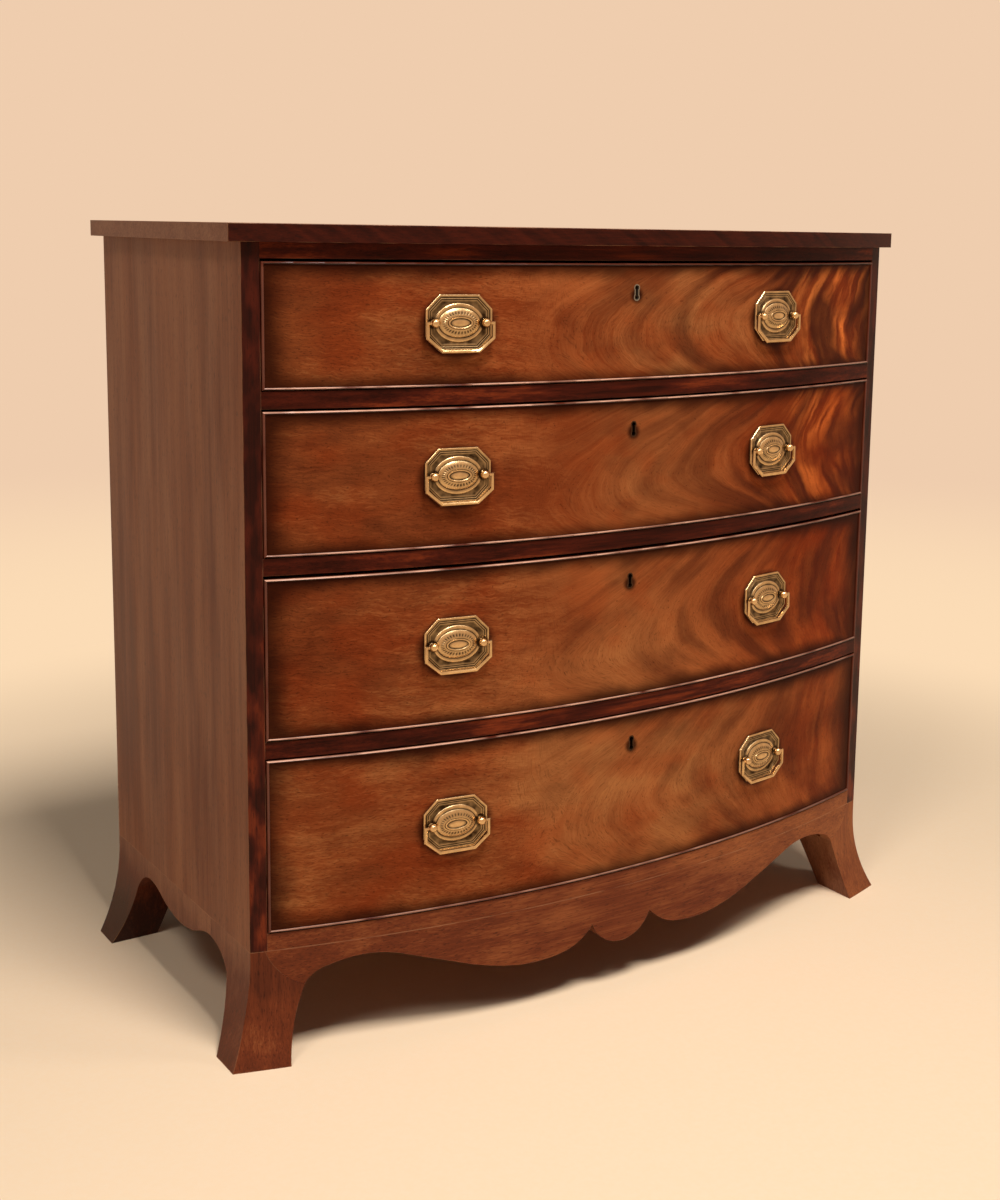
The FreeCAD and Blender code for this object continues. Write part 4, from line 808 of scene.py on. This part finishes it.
def add_plate(mesh, handle):
    """Octagonal plate: raised rim, two sunk steps, an oval flange, and a reeded boss."""
    size = handle.wide / MM, handle.high / MM, handle.corner / MM
    rings = []

    # the octagonal steps: how far in from the edge, how far out from the drawer, how dark:
    # tarnish in the grooves, painted shade and dark reflection on the flats
    for inset, height, tarnish_and_shade in (
            (0.0, -0.5, 0.6), (0.0, 1.4, 0.3), (0.3, 2.1, 0.0), (0.8, 2.5, 0.0),
            (1.5, 2.6, 0.2), (2.5, 2.3, 0.5), (3.2, 2.0, 0.65), (3.4, 1.5, 1.0),
            (3.9, 1.5, 1.0), (4.1, 2.0, 0.55), (4.6, 2.2, 0.25), (5.2, 1.9, 0.55),
            (5.4, 1.4, 1.0), (5.9, 1.4, 1.0), (6.1, 1.8, 0.6), (6.7, 1.9, 0.4),
            (7.5, 1.6, 0.6), (8.2, 1.4, 0.7), (8.8, 1.2, 0.75)):
        points = octagon(*size, inset)
        rings.append((raise_to(points, height), tarnish_and_post_shade(points, tarnish_and_shade, handle)))

    # the oval flange, up to the foot of the boss
    for half_wide, half_high, height, tarnish_and_shade in (
            (29.3, 21.8, 1.2, 0.75), (28.8, 21.3, 2.1, 0.35), (28.0, 20.5, 2.6, 0.0),
            (26.8, 19.0, 2.7, 0.2), (25.6, 17.4, 2.5, 0.5), (25.0, 16.7, 2.3, 1.0),
            (24.4, 16.0, 3.1, 0.4)):
        points = oval(half_wide, half_high)
        rings.append((raise_to(points, height), tarnish_and_post_shade(points, tarnish_and_shade, handle)))

    # the boss: its side swells out, with reeds over the middle of it
    foot, rise, steps, groove = 3.1, 3.3, 12, 0.55
    cuts = [0.5 - 0.5 * math.cos(math.tau * k * REEDS / AROUND) for k in range(AROUND)]
    for step in range(1, steps):
        share = step / steps
        height = foot + rise * math.sin(math.pi / 2 * share)
        reeded = min(1.0, max(0.0, (share - 0.3) / 0.55))
        depth = groove * math.sin(math.pi * reeded)
        rings.append((raise_to(oval(24.4 - 9.4 * share, 16.0 - 9.0 * share),
                               [height - depth * cut for cut in cuts]),
                      [min(1.0, 0.15 + 1.5 * depth * cut) for cut in cuts]))

    # its crown: a thin rim round a sunk oval with a low dome
    for half_wide, half_high, height, tarnish_and_shade in (
            (15.0, 7.1, 6.2, 1.0), (14.5, 6.7, 7.0, 0.1), (13.6, 6.1, 7.2, 0.0),
            (12.7, 5.5, 7.0, 0.2), (12.0, 4.9, 6.3, 1.0), (10.5, 3.9, 6.4, 0.5),
            (8.0, 2.5, 7.0, 0.0), (3.0, 0.9, 7.2, 0.0)):
        rings.append((raise_to(oval(half_wide, half_high), height), tarnish_and_shade))
    loft(mesh, rings)


def lathe(mesh, profile, centre, count=24):
    """Turn a profile of radius, height and darkness (tarnish, painted shade) about a line
    fronting -Y.
    """
    rings = []
    for radius, height, tarnish_and_shade in profile:
        points = [(centre[0] + x, centre[1] + z) for x, z in oval(radius, radius, count)]
        rings.append((raise_to(points, height), tarnish_and_shade))
    loft(mesh, rings)


def add_post(mesh, handle, side):
    """Turned post with its collar, neck and ball, its stem through the drawer, and its nut."""
    centre = side * handle.posts / 2 / MM, 0.0
    ball, stand, front = handle.ball / MM, handle.stand / MM, handle.front / MM
    neck, steps, highest = 2.5, 12, math.radians(84)
    lowest = -math.acos(neck / ball)
    # the collar and neck are painted dark, and the underside of the ball a little: tarnish and
    # painted shade
    profile = [(3.7, 0.8, 1.0), (3.9, 1.6, 0.6), (3.8, 2.2, 0.1), (3.2, 2.6, 0.3),
               (neck, 2.9, 0.9)]
    for step in range(steps + 1):
        angle = lowest + (highest - lowest) * step / steps
        profile.append((ball * math.cos(angle), stand + ball * math.sin(angle),
                        0.4 * max(0.0, 1 - step / 2)))
    lathe(mesh, profile, centre)
    lathe(mesh, [(2.0, -front - 8.0, 0.4), (2.2, -front - 7.6, 0.4), (2.2, -front, 0.6)],
          centre, 12)
    nut = []
    for inset, height in ((0.5, -front - 4.1), (0.0, -front - 3.6), (0.0, -front - 1.0),
                          (0.4, -front - 0.6)):
        points = octagon(11.0, 11.0, 1.0, inset, 32)
        nut.append((raise_to([(centre[0] + x, centre[1] + z) for x, z in points], height), 0.5))
    loft(mesh, nut)


def add_bail(mesh, handle):
    """Slim bail with crisp mitred corners and eight filed flats, one turned up to the light."""
    post, ball = handle.posts / 2 / MM, handle.ball / MM
    arm = post + handle.arm_out / MM
    grip = arm - handle.slant / MM
    rod = handle.bail / MM
    path = [(post + 1.6, 0, 1.35), (post + ball + 0.3, 0, 1.35), (post + ball + 0.31, 0, 1.9),
            (post + ball + 1.3, 0, 1.9), (post + ball + 1.31, 0, 1.5), (arm, 0, rod * 0.9),
            (arm, -handle.arm_down / MM, rod), (grip, -handle.drop / MM, rod * 1.06),
            (grip * 0.4, -handle.drop / MM, rod * 1.12)]
    path += [(-x, z, radius) for x, z, radius in reversed(path)]
    stand = handle.stand / MM
    rings = []
    for k, (x, z, radius) in enumerate(path):
        here = Vector((x, z))
        before = (here - Vector(path[k - 1][:2])).normalized() if k else None
        after = (Vector(path[k + 1][:2]) - here).normalized() if k + 1 < len(path) else None
        before, after = before or after, after or before
        along = (before + after).normalized()
        spread = 1 / max(0.5, along.dot(after))
        square = Vector((-along.y, along.x)) * spread
        points = []
        for n in range(FLATS):
            angle = math.tau * (n + 0.5) / FLATS - math.radians(12)
            flat = here + square * radius * math.cos(angle)
            points.append(Vector((flat.x, -stand - radius * math.sin(angle), flat.y)))
        rings.append((points, 0.05))
    loft(mesh, rings)


def brass_piece(name, body, material, parts, sharp):
    """A new brass object from parts, each a maker and the place it goes."""
    made = bmesh.new()
    made.verts.layers.float.new("tarnish_and_shade")
    for maker, matrix in parts:
        count = len(made.verts)
        maker(made)
        made.verts.ensure_lookup_table()
        bmesh.ops.transform(made, matrix=matrix, verts=made.verts[count:])
    bmesh.ops.recalc_face_normals(made, faces=made.faces)
    data = bpy.data.meshes.new(name)
    made.to_mesh(data)
    made.free()
    data.shade_smooth()
    data.set_sharp_from_angle(angle=sharp)
    data.materials.append(material)
    piece = bpy.data.objects.new(name, data)
    bpy.context.scene.collection.objects.link(piece)
    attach(piece, body)
    return piece


def handle_place(drawer, side, handle):
    """From a handle's own millimetres to the chest, read from its bail's pivot."""
    joint = next(j for j in frame["joints"] if j["name"] == f"bail_{side}_{drawer}_swing")
    pivot, across = Vector(joint["pos_m"]), -Vector(joint["axis"])
    outwards = Vector((across.y, -across.x, 0))
    origin = pivot - outwards * handle.stand
    turn = Matrix.Rotation(math.atan2(across.y, across.x), 4, "Z")
    return Matrix.Translation(origin) @ turn @ Matrix.Scale(MM, 4)


# ---------------------------------------------------------------- operators

class CHEST_OT_carcass(bpy.types.Operator):
    """Polish the top, sides, rails, aprons and feet"""
    bl_idname = "chest.carcass"
    bl_label = "Mahogany carcass"

    def execute(self, context):
        wood, inside = context.scene.chest_mahogany, context.scene.chest_inside
        dress(["top"], polished_top(wood))
        dress(["side_left", "side_right"], side_and_stile(wood))
        dress(["top_rail", "divider_1", "divider_2", "divider_3"],
              faced_rail(wood, inside))
        dress(["apron_front", "bottom_rail"],
              waxed_base(wood, "mahogany_front_apron_waxed", "x", 121.0, 0.0, 0.0))
        dress(["apron_left", "apron_right"],
              waxed_base(wood, "mahogany_side_apron_waxed", "z", 127.0, 0.0, 0.0))
        dress(["foot_front_left", "foot_front_right", "foot_rear_left", "foot_rear_right"],
              waxed_base(wood, "mahogany_foot_waxed", "z", 131.0, -0.1, 0.35))
        return {"FINISHED"}


class CHEST_OT_fronts(bpy.types.Operator):
    """Lay the flame veneer on the drawer fronts and rub the cockbeads"""
    bl_idname = "chest.fronts"
    bl_label = "Drawer fronts and cockbeads"

    def execute(self, context):
        scene = context.scene
        for drawer in DRAWERS:
            dress([f"drawer_{drawer}_front"],
                  flame_veneer(scene.chest_veneer, scene.chest_inside, drawer))
        dress([f"drawer_{drawer}_cockbead" for drawer in DRAWERS],
              rubbed_cockbead(scene.chest_mahogany))
        return {"FINISHED"}


class CHEST_OT_linings(bpy.types.Operator):
    """Plane the oak of the drawer linings"""
    bl_idname = "chest.linings"
    bl_label = "Oak drawer linings"

    def execute(self, context):
        inside = context.scene.chest_inside
        dress([f"drawer_{drawer}_sides" for drawer in DRAWERS],
              planed_oak(inside, "y", "oak_lining_planed"))
        dress([f"drawer_{drawer}_{part}" for drawer in DRAWERS for part in ("back", "bottom")],
              planed_oak(inside, "x", "oak_board_planed"))
        return {"FINISHED"}


class CHEST_OT_pine(bpy.types.Operator):
    """Saw the pine of the back, runners, dust boards and blocks"""
    bl_idname = "chest.pine"
    bl_label = "Pine inside and back"

    def execute(self, context):
        inside = context.scene.chest_inside
        dress(["back_boards", "carcass_bottom"],
              sawn_pine(inside, "x", "pine_back_sawn", 0.7))
        dress(["dust_boards", "blocks_and_stops"],
              sawn_pine(inside, "x", "pine_board_planed", 0.3))
        dress(["runners"], sawn_pine(inside, "y", "pine_runner_planed", 0.25))
        return {"FINISHED"}


class CHEST_OT_locks(bpy.types.Operator):
    """File the iron locks and bolts, and let in the brass thread round the keyholes"""
    bl_idname = "chest.locks"
    bl_label = "Locks and keyholes"

    def execute(self, context):
        metal = context.scene.chest_metal
        bright = iron_and_thread(metal, "iron_lock_filed_brass_thread_bright", "#8a8173")
        dull = iron_and_thread(metal, "iron_lock_filed_brass_thread_dull", "#4a3424")
        dress(["drawer_1_lock", "drawer_1_bolt"], bright)
        dress([f"drawer_{drawer}_{part}" for drawer in DRAWERS[1:] for part in ("lock", "bolt")],
              dull)
        return {"FINISHED"}


class CHEST_OT_plates(bpy.types.Operator):
    """Cast the octagonal handle plates with their turned posts and nuts"""
    bl_idname = "chest.plates"
    bl_label = "Handle plates and posts"

    def execute(self, context):
        handle = context.scene.chest_handle
        brass = cast_brass(context.scene.chest_metal, "brass_cast_lacquered")
        for drawer in DRAWERS:
            parts = []
            for side in SIDES:
                place = handle_place(drawer, side, handle)
                parts.append((lambda mesh: add_plate(mesh, handle), place))
                parts += [(lambda mesh, end=end: add_post(mesh, handle, end), place)
                          for end in (-1, 1)]
            plates = brass_piece(f"drawer_{drawer}_plates_and_posts", f"drawer_{drawer}",
                                 brass, parts, math.radians(38))
            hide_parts(f"drawer_{drawer}_handle_mounts")
        return {"FINISHED"}


class CHEST_OT_bails(bpy.types.Operator):
    """Cast the bails that hang from the posts"""
    bl_idname = "chest.bails"
    bl_label = "Bails"

    def execute(self, context):
        handle = context.scene.chest_handle
        brass = cast_brass(context.scene.chest_metal, "brass_bail_rubbed")
        for drawer in DRAWERS:
            for side in SIDES:
                place = handle_place(drawer, side, handle)
                bail = brass_piece(f"bail_{side}_{drawer}_cast", f"bail_{side}_{drawer}",
                                   brass, [(lambda mesh: add_bail(mesh, handle), place)],
                                   math.radians(30))
                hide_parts(f"drawer_{drawer}_bail_{side}")
        return {"FINISHED"}


class CHEST_OT_stage(bpy.types.Operator):
    """Set the floor, the background, the soft lamps and the camera"""
    bl_idname = "chest.stage"
    bl_label = "Stage"

    def execute(self, context):
        stage = context.scene.chest_stage
        ground = bmesh.new()
        bmesh.ops.create_circle(ground, cap_ends=True, radius=30.0, segments=64)
        data = bpy.data.meshes.new("floor")
        ground.to_mesh(data)
        ground.free()
        data.materials.append(stage_floor(stage))
        floor = bpy.data.objects.new("floor", data)
        context.scene.collection.objects.link(floor)

        world = bpy.data.worlds.new("studio")
        world.use_nodes = True
        tree = world.node_tree
        tree.nodes.clear()
        ray = add(tree, "LightPath").node.outputs
        seen = add(tree, "Math", (ray["Is Camera Ray"], ray["Is Glossy Ray"]),
                   operation="MAXIMUM")
        seen = add(tree, "Math", (seen, ray["Is Transmission Ray"]), operation="MAXIMUM")
        soft = add(tree, "Background", {"Color": linear("#ffffff"), "Strength": stage.ambient})
        plain = add(tree, "Background", {"Color": stage.wall, "Strength": 1.0})
        add(tree, "OutputWorld", (add(tree, "MixShader", (seen, soft, plain)),))
        context.scene.world = world

        middle = Vector((0, 0, 0.45))
        for name, place, size, power in (
                ("key", (-0.2, -1.5, 3.4), 0.9, stage.key),
                ("fill", (-2.4, -1.6, 3.6), 1.0, stage.fill),
                ("window", (1.7, -1.6, 3.4), 0.6, stage.window)):
            lamp = bpy.data.lights.new(name, "AREA")
            lamp.size = size
            lamp.energy = power
            holder = bpy.data.objects.new(name, lamp)
            holder.location = place
            aim = middle - Vector(place)
            holder.rotation_euler = aim.to_track_quat("-Z", "Y").to_euler()
            context.scene.collection.objects.link(holder)

        camera = bpy.data.cameras.new("camera")
        camera.sensor_fit = "HORIZONTAL"
        camera.sensor_width = 36.0
        camera.lens = stage.lens
        camera.shift_x, camera.shift_y = stage.shift
        holder = bpy.data.objects.new("camera", camera)
        holder.matrix_world = (Matrix.Translation(stage.eye)
                               @ Matrix.Rotation(-stage.turn, 4, "Z")
                               @ Matrix.Rotation(math.radians(90) - stage.tip, 4, "X")
                               @ Matrix.Rotation(stage.roll, 4, "Z"))
        context.scene.collection.objects.link(holder)
        context.scene.camera = holder
        context.scene.view_settings.view_transform = "Standard"
        return {"FINISHED"}


class CHEST_PT_maker(bpy.types.Panel):
    """Lists the steps in the order they are run"""
    bl_idname = "CHEST_PT_maker"
    bl_label = "Chest"
    bl_space_type = "VIEW_3D"
    bl_region_type = "UI"
    bl_category = "Chest"

    def draw(self, context):
        for step in STEPS:
            self.layout.operator(step.bl_idname)


GROUPS = {"chest_mahogany": ChestMahogany, "chest_veneer": ChestVeneer,
          "chest_inside": ChestInside, "chest_metal": ChestMetal,
          "chest_handle": ChestHandle, "chest_stage": ChestStage}
STEPS = (CHEST_OT_stage, CHEST_OT_carcass, CHEST_OT_fronts, CHEST_OT_linings, CHEST_OT_pine,
         CHEST_OT_locks, CHEST_OT_plates, CHEST_OT_bails)


def register():
    for kind in (*GROUPS.values(), *STEPS, CHEST_PT_maker):
        bpy.utils.register_class(kind)
    for name, kind in GROUPS.items():
        setattr(bpy.types.Scene, name, PointerProperty(type=kind))


def unregister():
    for name in GROUPS:
        delattr(bpy.types.Scene, name)
    for kind in reversed((*GROUPS.values(), *STEPS, CHEST_PT_maker)):
        bpy.utils.unregister_class(kind)


def main():
    """Run every step in order."""
    register()
    bpy.ops.chest.stage()
    bpy.ops.chest.carcass()
    bpy.ops.chest.fronts()
    bpy.ops.chest.linings()
    bpy.ops.chest.pine()
    bpy.ops.chest.locks()
    bpy.ops.chest.plates()
    bpy.ops.chest.bails()


if __name__ == "__main__":
    main()
